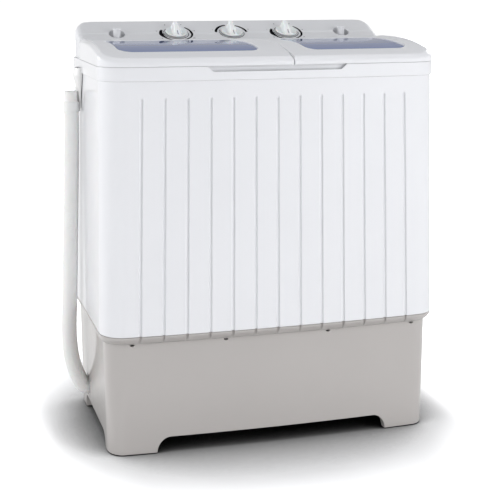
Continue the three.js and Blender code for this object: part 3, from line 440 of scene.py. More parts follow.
def bake(obj):
    """Applies the object's modifiers to its mesh."""
    bpy.context.view_layer.update()
    shown = obj.evaluated_get(bpy.context.evaluated_depsgraph_get())
    mesh = bpy.data.meshes.new_from_object(shown)
    old = obj.data
    obj.modifiers.clear()
    obj.data = mesh
    bpy.data.meshes.remove(old)


def carve(obj, *tools, operation="DIFFERENCE"):
    """Cuts each tool, a solid or an object that is used up, from the object, or joins it to the object."""
    for tool in tools:
        if not isinstance(tool, bpy.types.Object):
            tool = raw_object("tool", tool)
        step = obj.modifiers.new("carve", "BOOLEAN")
        step.operation = operation
        step.solver = "EXACT"
        step.object = tool
        bake(obj)
        bpy.data.meshes.remove(tool.data)
    return obj


def ease(obj, width, angle=40, segments=3):
    """Rounds every edge sharper than the angle."""
    step = obj.modifiers.new("ease", "BEVEL")
    step.width = width * MM
    step.segments = segments
    step.limit_method = "ANGLE"
    step.angle_limit = math.radians(angle)
    step.use_clamp_overlap = True
    step.miter_outer = "MITER_ARC"


def shade(obj, angle, weighted):
    """Smooth shading with sharp edges above the angle; weighted evens out the normals of flat faces."""
    obj.data.shade_smooth()
    obj.data.set_sharp_from_angle(angle=math.radians(angle))
    if weighted:
        step = obj.modifiers.new("normals", "WEIGHTED_NORMAL")
        step.keep_sharp = True
        step.weight = 80


def settle(obj, slot, body=ROOT, cad=None, looks=None, angle=50, weighted=True):
    """Gives a piece its finish, shading and body, and hides the CAD node it stands for."""
    if not obj.data.materials:
        obj.data.materials.append(FINISHES[looks or slot])
    shade(obj, angle, weighted)
    if cad:
        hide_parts(cad)
    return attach(obj, body)


# ---- plan outlines
def bow(x):
    """How far the front stands forward at x."""
    return BOW * np.clip(1 - (np.asarray(x, float) / RUN) ** 2, 0, None)


def plan(side, edge, xs=np.linspace(-RUN, RUN, 33), dent=0.0):
    """The cabinet's plan pulled in by side, and at front and rear by edge; dent pushes the front back."""
    half = HALF_WIDTH - side
    deep_front = FRONT_CORNER - edge / 2
    deep_rear = REAR_CORNER - edge / 2
    y_front = edge + deep_front
    y_rear = CABINET_DEPTH - edge - deep_rear
    return np.vstack([
        np.column_stack([xs, edge - bow(xs) + dent]),
        arc(RUN, y_front, half - RUN, deep_front, -90, 90, 14)[1:],
        arc(REAR_RUN, y_rear, half - REAR_RUN, deep_rear, 0, 90, 10),
        arc(-REAR_RUN, y_rear, half - REAR_RUN, deep_rear, 90, 90, 10),
        arc(-RUN, y_front, half - RUN, deep_front, 180, 90, 14)[:-1],
    ])


def grooved_columns():
    """x of the front's columns: close together on the grooves' flanks."""
    left = np.linspace(-GROOVE_LEFT, GROOVE_LEFT_RAMP - GROOVE_LEFT, 9)
    right = np.linspace(GROOVE_RIGHT - GROOVE_RIGHT_RAMP, GROOVE_RIGHT, 8)
    local = np.concatenate([left, right])
    land = (GROOVE_XS[:-1] + GROOVE_XS[1:]) / 2
    xs = [x + local for x in GROOVE_XS] + [land, land - 9, land + 9, [-RUN, -RUN + 5, RUN - 5, RUN]]
    return np.unique(np.round(np.concatenate(xs), 4))


GROOVED_XS = grooved_columns()


def groove_shape(xs):
    """0 on the lands and 1 in the grooves, with rounded lips and roots."""
    away = xs[:, None] - GROOVE_XS[None, :]
    away = away[np.arange(len(xs)), np.abs(away).argmin(axis=1)]
    flanks = (away + GROOVE_LEFT) / GROOVE_LEFT_RAMP, (GROOVE_RIGHT - away) / GROOVE_RIGHT_RAMP
    return eased(np.clip(np.minimum(*flanks), 0, 1))


# ---- casings
def make_cabinet():
    height = BAND_BOTTOM - SEAM - CABINET_BOTTOM
    dents = groove_shape(GROOVED_XS) * GROOVE_DEPTH

    def row(z, inset, depth=1.0):
        side = DRAFT_BOTTOM + (DRAFT_TOP - DRAFT_BOTTOM) * (z - CABINET_BOTTOM) / height + inset
        return level(plan(side, inset, GROOVED_XS, dents * depth), z)

    low, high, wall = CABINET_BOTTOM, CABINET_BOTTOM + height, CABINET_WALL
    fade = GROOVE_TOP - GROOVE_FADE
    rows = [row(low, 1.2), row(low + 0.25, 0.5), row(low + 0.9, 0.1), row(low + 2, 0), row(low + 40, 0)]
    rows += [row(z, 0) for z in np.linspace(low + 90, fade - 8, 6)]
    rows += [row(fade + GROOVE_FADE * t, 0, 1 - eased(t)) for t in np.linspace(0, 1, 9)]
    rows += [row(high - 6, 0, 0), row(high, 0, 0)]
    rows += [row(z, wall, 0) for z in (high, high - 40, low + 40, low)]
    cabinet = raw_object("cabinet_shell", loft(rows, ring=True))
    return settle(cabinet, "white_gloss", cad="cabinet", angle=55)


def arch_outline(low, high):
    """An arch with quarter-ellipse ends, open downward."""
    height = ARCH_TOP - BASE_UNDERSIDE
    right = arc(high - ARCH_END, BASE_UNDERSIDE, ARCH_END, height, 0, 90, 12)
    left = arc(low + ARCH_END, BASE_UNDERSIDE, ARCH_END, height, 90, 90, 12)
    return np.vstack([[[low, -5], [high, -5]], right, left])


def hose_points():
    """Points the drain hose runs through, from its exit in the base up to its tip."""
    x, y, z = HOSE_EXIT
    up, tip = HOSE_X, spot("drain_hose")[1][2]
    return np.array([
        [x, y, z], [x - 12, y - 1, z + 17], [x - 23, y - 2, z + 48], [x - 28.5, y - 4, z + 92],
        [up - 0.5, y - 5, z + 145], [up, y - 5, 330], [up, y - 5, 470], [up - 1.5, y - 5, tip - 4]])


def make_base():
    top = CABINET_BOTTOM - SEAM
    notch = groove_shape(GROOVED_XS) ** 2.2

    def row(z, side, front, depth=0.0):
        return level(plan(side, front, GROOVED_XS, notch * depth), z)

    def wall(z, inset=0.0):
        share = (z - BASE_UNDERSIDE) / (FLANGE_BOTTOM - BASE_UNDERSIDE)
        taper = BASE_TAPER * (1 - share)
        return row(z, BASE_SIDE + taper + BASE_LEAN * (1 - share) + inset, BASE_FRONT + taper + inset)

    def flange(z, inset=0.0, depth=0.0):
        share = 1 - (1 - (z - FLANGE_BOTTOM) / (top - FLANGE_BOTTOM)) ** FLANGE_COVE
        side, front = (edge + (FLANGE_EDGE - edge) * share + inset for edge in (BASE_SIDE, BASE_FRONT))
        return row(z, side, front, depth)

    under = BASE_UNDERSIDE
    rows = [wall(BASE_FLOOR - 3, FOOT_DEPTH), wall(8, FOOT_DEPTH), wall(under, FOOT_DEPTH - 1),
            wall(under, 1.6), wall(under + 0.5, 0.5), wall(under + 1.6), wall(60), wall(120), wall(170),
            wall(173.2), wall(174.4, 0.4), wall(175.2, 0.5), flange(175.9, -0.4, 0.4), flange(177, -0.8, 1.2)]
    rows += [flange(z, (z - 189) / 11, 1.8 + 1.6 * (z - 178) / 11) for z in (178.4, 181, 183.5, 186, 188.3)]
    rows += [flange(189.2, 0.1, FLANGE_NOTCH), flange(top, 0.8, FLANGE_NOTCH), flange(top, 5.5),
             row(178, 13.5, 21.5), wall(170, BASE_WALL), wall(60, BASE_WALL), wall(BASE_FLOOR, BASE_WALL)]
    base = raw_object("base_shell", loft(rows))
    arch = prism(arch_outline(-ARCH_HALF, ARCH_HALF), "y", -40, 380)
    side_arch = prism(arch_outline(*SIDE_ARCH), "x", -330, 330)
    slit = prism(arc(0, 0, 3.8, 1.5, 0, 360, 20)[:-1], "y", -8, 4)
    slits = [moved(slit, (x, BASE_FRONT - float(bow(x)), 172.9)) for x in (-237, -84, 91.5, 244)]
    slot = loft(sweep_rows(smooth_path(np.vstack([[-268, 236, 30], hose_points()[:5]]), 6), 16.5, 24))
    vents = [prism(rounded_rectangle(x, x + 82, y, y + 62, 8), "z", 20, 40)
             for x, y in ((-152, 108), (116, 62))]
    cord = moved(prism(circle(0, 0, 5, 20), "y", -40, 20), (-230, CABINET_DEPTH, CORD_HEIGHT))
    carve(base, arch, side_arch, *slits, slot, *vents, cord)
    ease(base, 0.7, segments=2)
    return settle(base, "base_grey", cad="base")


def make_top_frame():
    low, high = BAND_BOTTOM, LID_SEAT - SEAM
    floor = 606                     # top of the hollow under the deck

    def row(z, inset):
        return level(plan(DRAFT_TOP - BAND_PROUD + inset, inset - BAND_PROUD), z)

    band = raw_object("top_frame_band", loft([
        row(low, 6), row(low, 1.0), row(low + 0.3, 0.35), row(low + 1.0, 0), row(high - 0.6, 0),
        row(high - 0.2, 0.15), row(high, 0.6)]))
    carve(band, loft([row(low - 2, 6), row(floor, 6)]))
    backing = loft([level(rounded_rectangle(-130, 130, -BOW + 0.5, 14, 2), z) for z in (high - 13, high - 1)])
    carve(band, backing, operation="UNION")

    pocket = soften([[-111, high - 9], [111, high - 9], [124, high + 3], [-124, high + 3]], [4, 4, 0, 0], 5)
    section = soften([[-30, high - 9.8], [-5.5, high - 9.8], [-1.6, high - 7.5], [-1.6, high + 4],
                      [-30, high + 4]], [0, 2, 2, 0, 0])
    handle = raw_object("handle_recess", prism(pocket, "y", -30, 30))
    carve(handle, prism(section, "x", -140, 140), operation="INTERSECT")
    (x0, y0, _), (x1, y1, _) = spot("wash_tub")
    mouth = rounded_rectangle(x0 + 8, x1 - 8, y0 + 8, y1 - 8, 49, 12)
    spin_mouth = circle(*centre("spin_tub")[:2], 104, 72)
    behind = rounded_rectangle(-265, 265, 252, 326, 4)
    carve(band, handle, *(prism(outline, "z", 600, 620) for outline in (mouth, spin_mouth, behind)))
    ease(band, 0.4)
    return settle(band, "white_gloss", cad="top_frame")


# ---- lids
def edge_distance(past_x, past_y, corner, straight):
    """Distance from an outline: straight, or at a rounded corner by how far past its centre a point is."""
    rx, ry = corner
    out = np.hypot(np.clip(past_x, 0, None) / rx, np.clip(past_y, 0, None) / ry)
    return np.where((past_x > 0) & (past_y > 0), (1 - out) * (rx + ry) / 2, straight)


def lid_edge(x, y):
    """Distance of a plan point from the lids' front and sides."""
    past_y = LID_CORNER[1] - BAND_PROUD - y
    straight = np.minimum(y + BAND_PROUD + bow(x), BAND_HALF - np.abs(x))
    return edge_distance(np.abs(x) - RUN, past_y, LID_CORNER, straight)


def lid_height(x, y):
    """Height of the lids' upper skin, which falls away to the front and is chamfered at the edge."""
    reach = np.clip(CROWN_START - y - bow(x), 0, None)
    behind = np.clip((y - DISH_FRONT) / DISH_RUN, 0, 1)
    dish = DISH_DEPTH * eased(behind) * (1 - np.clip(np.abs(x) / BAND_HALF, 0, 1) ** 12)
    z = LID_CROWN - CROWN_FALL * reach ** CROWN_POWER - dish
    away = lid_edge(x, y)
    slope = RING_DROP * (RING_WIDTH - away) / RING_WIDTH
    z = z - (slope + np.sqrt(slope ** 2 + 0.25)) / 2
    return z - 0.7 * np.clip(1 - away / 1.2, 0, 1) ** 2


def draped(loop, lower=0.0):
    """A plan loop laid on the lids' upper skin, or lower."""
    return level(loop, lid_height(loop[:, 0], loop[:, 1]) - lower)


def matched_loop(x0, x1, y0, y1, corners):
    """Rounded rectangle with a bowed front and a fixed count of points on each stretch.
    corners holds (rx, ry) for front right, rear right, rear left and front left."""
    bends = []
    for i, (x, y, steps) in enumerate(((x1, y0, 14), (x1, y1, 8), (x0, y1, 8), (x0, y0, 14))):
        rx, ry = corners[i]
        cx, cy = x - rx if x == x1 else x + rx, y - ry if y == y1 else y + ry
        bends.append(arc(cx, cy, rx, ry, 90 * i - 90, 90, steps))
    stretches = []
    for before, bend, count in zip(bends[-1:] + bends, bends, (41, 12, 41, 12)):
        stretches += [np.linspace(before[-1], bend[0], count)[1:], bend[1:]]
    loop = np.vstack(stretches)
    loop[:, 1] -= bow(loop[:, 0]) * np.clip((y1 - loop[:, 1]) / (y1 - y0), 0, 1) ** 4
    return loop


def lid_loop(right, edge, cut):
    """Plan of one lid; edge pulls in its front and outer side, cut its seam and rear."""
    seam = LID_SPLIT + LID_GAP if right else -LID_SPLIT + LID_GAP
    outer = tuple(max(radius - edge, 1) for radius in LID_CORNER)
    small = (max(2.5 - cut, 0.4),) * 2
    loop = matched_loop(seam + cut, BAND_HALF - edge, edge - BAND_PROUD, LID_REAR - cut,
                        (outer, (max(5 - cut, 0.5),) * 2, small, small))
    return loop if right else loop * [-1, 1]


def window_loop(kind, grow):
    x0, x1, y0, y1 = WINDOWS[kind]
    if kind == "wash":
        x0, x1 = -x1, -x0
    outer, inner = (WINDOW_CORNER + grow,) * 2, (WINDOW_INNER_CORNER + grow,) * 2
    loop = matched_loop(x0 - grow, x1 + grow, y0 - grow, y1 + grow, (outer, outer, inner, inner))
    return loop * [-1, 1] if kind == "wash" else loop


def between(start, end, steps):
    """Loops from start, which is left out, to end."""
    return [start + (end - start) * t for t in np.linspace(0, 1, steps)[1:]]


def hinge_piece(lug, knuckle, web, lid_side):
    """The knuckle on the lid, or the lug on the panel beside it: a barrel and the web that carries it."""
    way = math.copysign(1, knuckle - lug)
    start = lug + way * (LUG_LENGTH + SEAM) if lid_side else lug
    x0, x1 = sorted((start, start + way * LUG_LENGTH))
    barrel = rod([x0, HINGE_Y, HINGE_Z], [x1, HINGE_Y, HINGE_Z], HINGE_RADIUS)
    return [barrel, prism(soften(web, 0.8), "x", x0 + 0.2, x1 - 0.2)]


def make_lid(kind):
    right = kind == "spin"
    under = LID_WALL + 0.4

    def outer(edge, cut, lower=0.0):
        return draped(lid_loop(right, edge, cut), lower)

    def skirt(edge, z):
        return level(lid_loop(right, edge, edge), z)

    def opening(grow, lower):
        return draped(window_loop(kind, grow), lower)

    seat = LID_SEAT + 0.05
    rows = [skirt(0.5, seat), skirt(0.12, seat + 0.12), skirt(0, seat + 0.5), skirt(0, seat + 4),
            outer(0, 0, 1.4), outer(0, 0, 0.9), outer(0.35, 0.3, 0.28), outer(1.2, 0.75, 0.05),
            outer(2.4, 1.2), outer(4.0, 1.7), outer(5.6, 2.3), outer(6.6, 2.9), outer(7.6, 3.5),
            outer(8.8, 4.3), outer(10.5, 5.5)]
    rows += [draped(loop) for loop in between(lid_loop(right, 10.5, 5.5), window_loop(kind, 2.5), 12)]
    rows += [opening(1.4, 0), opening(0.8, 0.06), opening(0.35, 0.3), opening(0.08, 0.8), opening(0, 1.6),
             opening(0, 4.6), opening(0, 5.0), opening(3.0, 5.0), opening(3.2, under)]
    rows += [draped(loop, under) for loop in between(window_loop(kind, 3.2), lid_loop(right, 9, 6), 8)]
    rows += [outer(5, LID_WALL + 1, under), outer(LID_WALL, LID_WALL, LID_WALL + 1.2),
             skirt(LID_WALL, seat + 3), skirt(LID_WALL, seat)]
    solids = [loft(rows, ring=True)]
    tongue = [[LID_REAR - 4, HINGE_Z + 0.5], [HINGE_Y, HINGE_Z + 2.7], [HINGE_Y, HINGE_Z - 2.7],
              [LID_REAR - 4, HINGE_Z - 5]]
    for lug, knuckle in HINGES[kind]:
        solids += hinge_piece(lug, knuckle, tongue, lid_side=True)
    lid = raw_object(f"{kind}_lid_shell", joined(*solids))
    for looks in ("white_gloss", "lid_top"):
        lid.data.materials.append(FINISHES[looks])
    for face in lid.data.polygons:
        x, y, z = (face.center - ORIGIN) / MM
        if face.normal.z > 0.8 and lid_edge(x, y) > RING_WIDTH and z > lid_height(x, y) - 1.0:
            face.material_index = 1
    return settle(lid, "white_gloss", f"{kind}_lid_body", f"{kind}_lid", angle=60)


def make_window(kind):
    x0, x1, y0, y1 = WINDOWS[kind]
    reach = (x1 - x0) / 2 - 78
    x, y = (x0 + x1) / 2, (y0 + y1) / 2

    def laid(loop, lower):
        return draped(loop, lower - PANE_TILT * (loop[:, 1] - y))

    rim, border = window_loop(kind, -0.35), window_loop(kind, -0.9)
    spine = np.column_stack([np.clip(rim[:, 0], x - reach, x + reach), np.full(len(rim), y)])
    top = [laid(rim, 2.6), laid(window_loop(kind, -0.5), 2.15), laid(border, 1.95)]
    top += [laid(loop, 1.95) for loop in between(border, spine, 12)]
    bottom = [laid(loop, 4.8) for loop in [rim] + between(rim, spine, 12)]
    pane = raw_object(f"{kind}_lid_pane", loft(bottom[::-1] + top, caps=False))
    return settle(pane, "window_blue", f"{kind}_lid_body", f"{kind}_lid_window", angle=60)


# ---- control panel
def panel_section(y):
    """Height of the panel's face at y, with its slight crease."""
    y = np.asarray(y, float)
    ys, zs = zip(PANEL_FOOT, PANEL_CREASE, PANEL_TOP)
    low = (zs[1] - zs[0]) / (ys[1] - ys[0])
    high = (zs[2] - zs[1]) / (ys[2] - ys[1])
    z = np.where(y < ys[1], zs[0] + low * (y - ys[0]), zs[1] + high * (y - ys[1]))
    z = z - 1.1 * np.exp(-((y - ys[1] - 2.4) / 1.3) ** 2) + 0.5 * np.exp(-((y - ys[1] + 0.6) / 1.4) ** 2)
    over = np.clip(y - ys[2], 0, None)
    return z - over * high - 0.35 * over - 0.028 * over ** 2 + over * high * np.exp(-over / 4)


def panel_depth(x):
    """y of the panel's rear edge at x, which follows the cabinet's rounded corner."""
    rx, ry = PANEL_CORNER
    out = np.clip((np.abs(x) - (PANEL_HALF - rx)) / rx, 0, 1)
    return PANEL_REAR - ry + ry * np.sqrt(1 - out ** 2)


def panel_edge(x, y):
    """Distance of a plan point from the panel's sides and rear."""
    rx, ry = PANEL_CORNER
    straight = np.minimum(PANEL_HALF - np.abs(x), PANEL_REAR - y)
    return edge_distance(np.abs(x) - (PANEL_HALF - rx), y - (PANEL_REAR - ry), PANEL_CORNER, straight)


def panel_height(x, y):
    away = np.clip(panel_edge(x, y), 0, PANEL_ROUND)
    drop = PANEL_ROUND - np.sqrt(PANEL_ROUND ** 2 - (PANEL_ROUND - away) ** 2)
    foot = np.clip(1 - (y - PANEL_FOOT[0]) / 1.5, 0, 1) ** 2
    return panel_section(y) - drop - foot


def on_panel(line, lift):
    return level(line, panel_height(line[:, 0], line[:, 1]) + lift)


def grid_faces(columns, rows):
    return [(r * columns + c, r * columns + c + 1, (r + 1) * columns + c + 1, (r + 1) * columns + c)
            for r in range(rows - 1) for c in range(columns - 1)]


def grid_border(columns, rows):
    """Indices of the points round a grid's edge."""
    last = (rows - 1) * columns
    return [*range(columns), *range(2 * columns - 1, last + columns, columns),
            *range(last + columns - 2, last - 1, -1), *range(last - columns, 0, -columns)]


def panel_shell():
    """The face as a grid, closer at the edges and the crease, with walls down to the lids' seat."""
    near = np.array([0, 0.12, 0.45, 1.0, 1.8, 2.8, 4.0, 5.4, 7.0])
    side = np.append(near, [9, 11, 14, 18, 24, 31, 37])
    xs = np.concatenate([-PANEL_HALF + side, np.linspace(-250, 250, 61), (PANEL_HALF - side)[::-1]])
    foot, crease = PANEL_FOOT[0], PANEL_CREASE[0]
    lower = [0, 0.3, 0.8, 1.6, 4, 12, 22, *np.arange(crease - foot - 5, crease - foot + 6.1, 0.6)]
    fan = crease + 6.6              # from here on the rows spread out to follow the rear edge
    upper = 1 - np.append(near, [9.5, 13, 18, 25, 33, 42, PANEL_REAR - fan]) / (PANEL_REAR - fan)
    rows = [np.column_stack([xs, np.full(len(xs), foot + step)]) for step in lower]
    rows += [np.column_stack([xs, fan + share * (panel_depth(xs) - fan)]) for share in upper[::-1]]
    top = on_panel(np.vstack(rows), 0)
    edge = grid_border(len(xs), len(rows))
    floor = level(top[edge, :2], LID_SEAT)
    start, size = len(top), len(edge)
    faces = grid_faces(len(xs), len(rows)) + [tuple(range(start, start + size))]
    faces += [(edge[i], edge[(i + 1) % size], start + (i + 1) % size, start + i) for i in range(size)]
    return np.vstack([top, floor]), faces


def make_control_panel():
    panel = raw_object("control_panel_housing", panel_shell())
    ys = np.linspace(252, 326, 12)
    ceiling = np.column_stack([ys, panel_section(ys) - 3])
    hollow = prism(np.vstack([[[252, 612]], ceiling, [[330, 670], [333, 664], [333, 612]]]), "x", -190, 190)
    cups = [prism(circle(centre(f"water_inlet_{side}")[0], INLET_Y, CUP_RADIUS, 48), "z", CUP_FLOOR, 720)
            for side in ("left", "right")]
    hole = prism(circle(0, 0, 5, 24), "z", -14, 14)
    notch = prism(rounded_rectangle(34, 50, 244, 256, 1.5), "z", 625, 637)
    carve(panel, hollow, *cups, *(on_knob(hole, name) for name in KNOB_NAMES), notch)
    web = [[HINGE_Y, HINGE_Z + 1.5], [250.5, HINGE_Z - 1.2], [250.5, HINGE_Z - 8],
           [HINGE_Y - 1, HINGE_Z - 3.2]]
    lugs = []
    for lug, knuckle in (*HINGES["wash"], *HINGES["spin"]):
        lugs += hinge_piece(lug, knuckle, web, lid_side=False)
    add_islands(panel, *lugs)
    ease(panel, 0.8)
    return settle(panel, "panel_grey", cad="control_panel")


def make_inlet(side):
    x, _, low, high = upright(f"water_inlet_{side}")
    floor = CUP_FLOOR
    profile = soften([
        [4.8, low], [7.2, low], [7.2, floor + 1.5], [9.2, floor + 1.2], [9.2, floor + 3], [6.7, floor + 4],
        [6.5, high - 4], [7, high - 3], [7, high], [5.1, high], [4.8, high - 12]],
        [0.3, 0.3, 0.4, 0.5, 0.6, 0.8, 0.6, 0.6, 0.8, 0.7, 0.5])
    inlet = raw_object(f"water_nozzle_{side}", turned(profile, x, INLET_Y, 56, closed=True))
    return settle(inlet, "white_gloss", cad=f"water_inlet_{side}", angle=60)


# ---- knobs and dial prints
def on_knob(solid, name):
    """Turns a solid drawn about the origin to stand square on the panel at a knob's shaft."""
    return moved(solid, centre(f"{name}_shaft"), KNOB_TURN)


def knob_surface(u, v):
    """Height of the knob's upper side: a dished disc crossed by a grip that climbs to the rear."""
    r = np.hypot(u, v) / KNOB_RADIUS
    dish = 2.6 + 0.9 * r ** 2 - 1.2 * np.exp(-((r - 0.55) / 0.28) ** 2)
    crest = np.interp(v, [-20, -16, -7, 4, 12, 16, 18, 20], [1.2, 3.2, 7.4, 11.0, 13.4, 13.2, 10.5, 2.0])
    width = np.interp(v, [-20, -9, 4, 14, 20], [6.8, 6.2, 5.6, 5.4, 5.6])
    grip = crest / (1 + np.abs(u / width) ** 7)
    return dish + grip * np.clip((1.02 - r) / 0.14, 0, 1) ** 0.6


def polar_field(radius, sectors, height, wall):
    """A round piece whose top follows height(u, v); wall lists the [radius, z] rows under its rim."""
    angle = np.linspace(0, 2 * np.pi, sectors, endpoint=False)
    way = np.column_stack([np.cos(angle), np.sin(angle)])
    rows = [level(r * way, height(*(r * way).T)) for r in radius * np.linspace(0, 1, 41) ** 0.9]
    return loft(rows + [level(r * way, z) for r, z in wall])


def make_knob(name):
    rim = [[KNOB_RADIUS + out, z] for out, z in ((0.25, 2.9), (0.4, 2.3), (0.5, 1.4), (0, 1.0), (-2, 0.9))]
    knob = raw_object(f"{name}_grip", on_knob(polar_field(KNOB_RADIUS, 168, knob_surface, rim), name))
    settle(knob, "knob_white", f"{name}_dial", f"{name}_knob", angle=60, weighted=False)
    v = np.linspace(-17, -8, 10)
    left, right = (np.column_stack([np.full(10, u), v, knob_surface(np.full(10, u), v) + 0.12])
                   for u in (-0.55, 0.55))
    line = np.vstack([left, right[::-1]])
    mark = raw_object(f"{name}_pointer", on_knob(loft([line, line - [0, 0, 0.4]]), name))
    return settle(mark, "dark_plastic", f"{name}_dial", looks="print_grey", angle=38)


def dial_arc(name, part, radius, start, end, widths):
    """A tapering raised print round a knob; angles from +X in degrees, widths from one end to the other."""
    angle = np.radians(np.linspace(start, end, 33))
    width = np.interp(np.linspace(0, 1, 33), np.linspace(0, 1, len(widths)), widths) / 2
    x = centre(f"{name}_shaft")[0]

    def line(r, lift):
        y = INLET_Y + r * np.sin(angle) * math.cos(KNOB_SLOPE)
        return on_panel(np.column_stack([x + r * np.cos(angle), y]), lift)

    inner, outer = radius - width, radius + width
    corners = [line(inner, -0.5), line(outer, -0.5), line(outer, 0.18), line(inner, 0.18)]
    strip = raw_object(f"{name}_{part}", loft(list(np.stack(corners, axis=1))))
    return settle(strip, "dark_plastic", looks="print_black", angle=38)


def numeral(name, count, text, x_reach, y_reach, angle):
    """A small number lying on the panel's face at an angle round a knob."""
    curve = bpy.data.curves.new(f"{name}_number_{count}", "FONT")
    curve.body = text
    curve.size = 5.0 * MM
    curve.align_x = "CENTER"
    curve.align_y = "CENTER"
    curve.extrude = 0.1 * MM
    curve.materials.append(FINISHES["print_grey"])
    made = bpy.data.objects.new(curve.name, curve)
    x = centre(f"{name}_shaft")[0] + x_reach * math.cos(math.radians(angle))
    y = INLET_Y + y_reach * math.sin(math.radians(angle)) * math.cos(KNOB_SLOPE)
    z = float(panel_height(np.array(x), np.array(y))) + 0.05
    made.matrix_world = Matrix.Translation(Vector((x, y, z)) * MM + ORIGIN) @ KNOB_TURN
    bpy.context.scene.collection.objects.link(made)
    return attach(made, ROOT)


def make_prints():
    for name in ("wash_timer", "spin_timer"):
        dial_arc(name, "arc_start", 28.6, 152, 220, (4.0, 8.2, 4.4))
        dial_arc(name, "arc_low", 29.4, 220, 322, (3.6, 2.6, 2.8))
        dial_arc(name, "arc_end", 29.8, 322, 408, (2.8, 4.4, 2.2))
        dial_arc(name, "ring", 23.4, 130, 410, (0.7, 1.5, 0.7))
    dial_arc("drain_selector", "arc_left", 30.0, 102, 172, (3.0, 4.6, 4.6))
    dial_arc("drain_selector", "arc_right", 30.0, 8, 66, (4.2, 4.0, 3.0))
    dial_arc("drain_selector", "ring", 23.4, 150, 390, (0.7, 1.5, 0.7))
    for i in range(6):
        numeral("wash_timer", i + 1, str(3 * i), 36.5, 36.5, 215 - i * 50)
        numeral("spin_timer", i + 1, str(i), 36.5, 36.5, 215 - i * 50)
    for i in range(3):
        numeral("drain_selector", i + 1, str(i + 1), 37, 35.5, 160 - i * 70)


# ---- drain hose and its hanger
def make_hose():
    points = np.vstack([[-262, 236, 46], hose_points()])
    points[-1][2] += 4
    tip = points[-1][2]
    path, run = respaced(smooth_path(points, 20), 0.7)
    height = path[:, 2]
    ribs = 0.55 * (0.5 - 0.5 * np.cos(2 * np.pi * run / HOSE_PITCH)) ** 0.7
    plain = np.clip((height - (COLLAR[0] - 2)) / 2, 0, 1)       # 0 on the corrugated part, 1 above it
    low, high = COLLAR
    spigot = np.interp(height, [low - 2, low, high, high + 2, tip - 2, tip - 0.8, tip],
                       [13.6, 14.4, 14.4, 12.6, 12.3, 12.9, 12.5])
    radius = (HOSE_RADIUS - 0.75 + ribs) * (1 - plain) + spigot * plain
    few = np.unique(np.linspace(0, len(path) - 1, 60).astype(int))
    bore = sweep_rows(path, HOSE_BORE, 28)
    rows = sweep_rows(path, radius, 28) + [bore[i] for i in few[::-1]]
    hose = raw_object("drain_hose_corrugated", loft(rows, ring=True))
    hose.data.materials.append(FINISHES["hose_cream"])
    shade(hose, 70, weighted=False)
    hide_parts("drain_hose")
    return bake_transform(hose)


def make_hanger():
    """A hollow scoop on the cabinet's side that narrows down to the clip round the hose."""
    hose_x, hose_y = hose_points()[-1][:2]
    wall = DRAFT_TOP - HALF_WIDTH - 0.8
    top = BAND_BOTTOM + 9
    zs = np.concatenate([[top, top - 1.5], np.linspace(top - 5, COLLAR[1] + 2, 16), [COLLAR[0] + 4]])
    marks = [528, 541, 558, 575, 587, 601]
    proud = np.interp(zs, marks, [3.0, 3.6, 5.4, 10.6, 14.4, 11.4])
    half = np.interp(zs, marks, [7.0, 8.0, 11.5, 17.5, 22.5, 21.5])
    angle = np.radians(np.linspace(90, 270, 25))
    round_x, round_y = np.sign(np.cos(angle)) * np.abs(np.cos(angle)) ** 0.75, np.sin(angle)

    def scoops(inset):
        rows = []
        for z, reach, wide in zip(zs, proud - inset, half - inset):
            edge = np.column_stack([wall + reach * round_x, hose_y + wide * round_y])
            rows.append(level(np.vstack([edge, [wall, hose_y]]), z))
        return rows

    shell = loft(scoops(0)[::-1] + scoops(2.2)[:-2])
    outline = np.vstack([arc(hose_x, hose_y, 16.2, 16.2, -118, 236, 40),
                         arc(hose_x, hose_y, 14.2, 14.2, 118, -236, 40)])
    clip = loft([level(outline, z) for z in COLLAR])
    hanger = raw_object("hose_hanger_bracket", joined(shell, clip))
    ease(hanger, 0.5, segments=2)
    return settle(hanger, "hose_cream", looks="hanger_cream", cad="hose_hanger")


# ---- wash side
def make_wash_tub():
    (x0, y0, bottom), (x1, y1, top) = spot("wash_tub")
    x0, x1, y0, y1 = x0 + 5, x1 - 5, y0 + 5, y1 - 5
    px, py = centre("pulsator")[:2]
    curve = 42.0                    # radius between the walls and the floor

    def outline(inset):
        return rounded_rectangle(x0 + inset, x1 - inset, y0 + inset, y1 - inset, max(52 - inset, 4), 14)

    def matched_circle(radius):
        corner = outline(0)
        angle = np.arctan2(corner[:, 1] - py, corner[:, 0] - px)
        return np.column_stack([px + radius * np.cos(angle), py + radius * np.sin(angle)])

    def skin(inset):
        rows = [level(outline(inset), z) for z in (top - 6, 520, 440, 360, bottom + curve + 4)]
        for t in np.radians(np.linspace(0, 82, 9)):
            push = (curve - inset) * (1 - math.cos(t))
            rows.append(level(outline(inset + push), bottom + curve - (curve - inset) * math.sin(t)))
        rim = outline(inset + curve * 0.9)
        step = matched_circle(96) - rim
        return rows + [level(rim + step * t, bottom + inset + 0.4) for t in (0.35, 0.7, 1.0)]

    inside = skin(3.0) + [level(matched_circle(radius), bottom + rise)
                          for radius, rise in ((92, 3), (89, 2.7), (14, 2.7))]
    outside = skin(0.0) + [level(matched_circle(14), bottom)]
    lip = [level(outline(inset), top - fall)
           for inset, fall in ((0, 3), (-4.6, 3), (-5, 2), (-4.7, 0.5), (-4, 0), (1.6, 0), (2.6, 0.6))]
    tub = raw_object("wash_tub_moulding", loft(outside[::-1] + lip + inside, ring=True))
    rib = prism(soften([[-4, -2], [4, -2], [1.6, -5.5], [-1.6, -5.5]], 1.2), "z", 300, 560)
    add_islands(tub, *(moved(rib, (x, y1, 0)) for x in np.linspace(x0 + 70, x1 - 70, 5)))
    return settle(tub, "tub_white", cad="wash_tub")


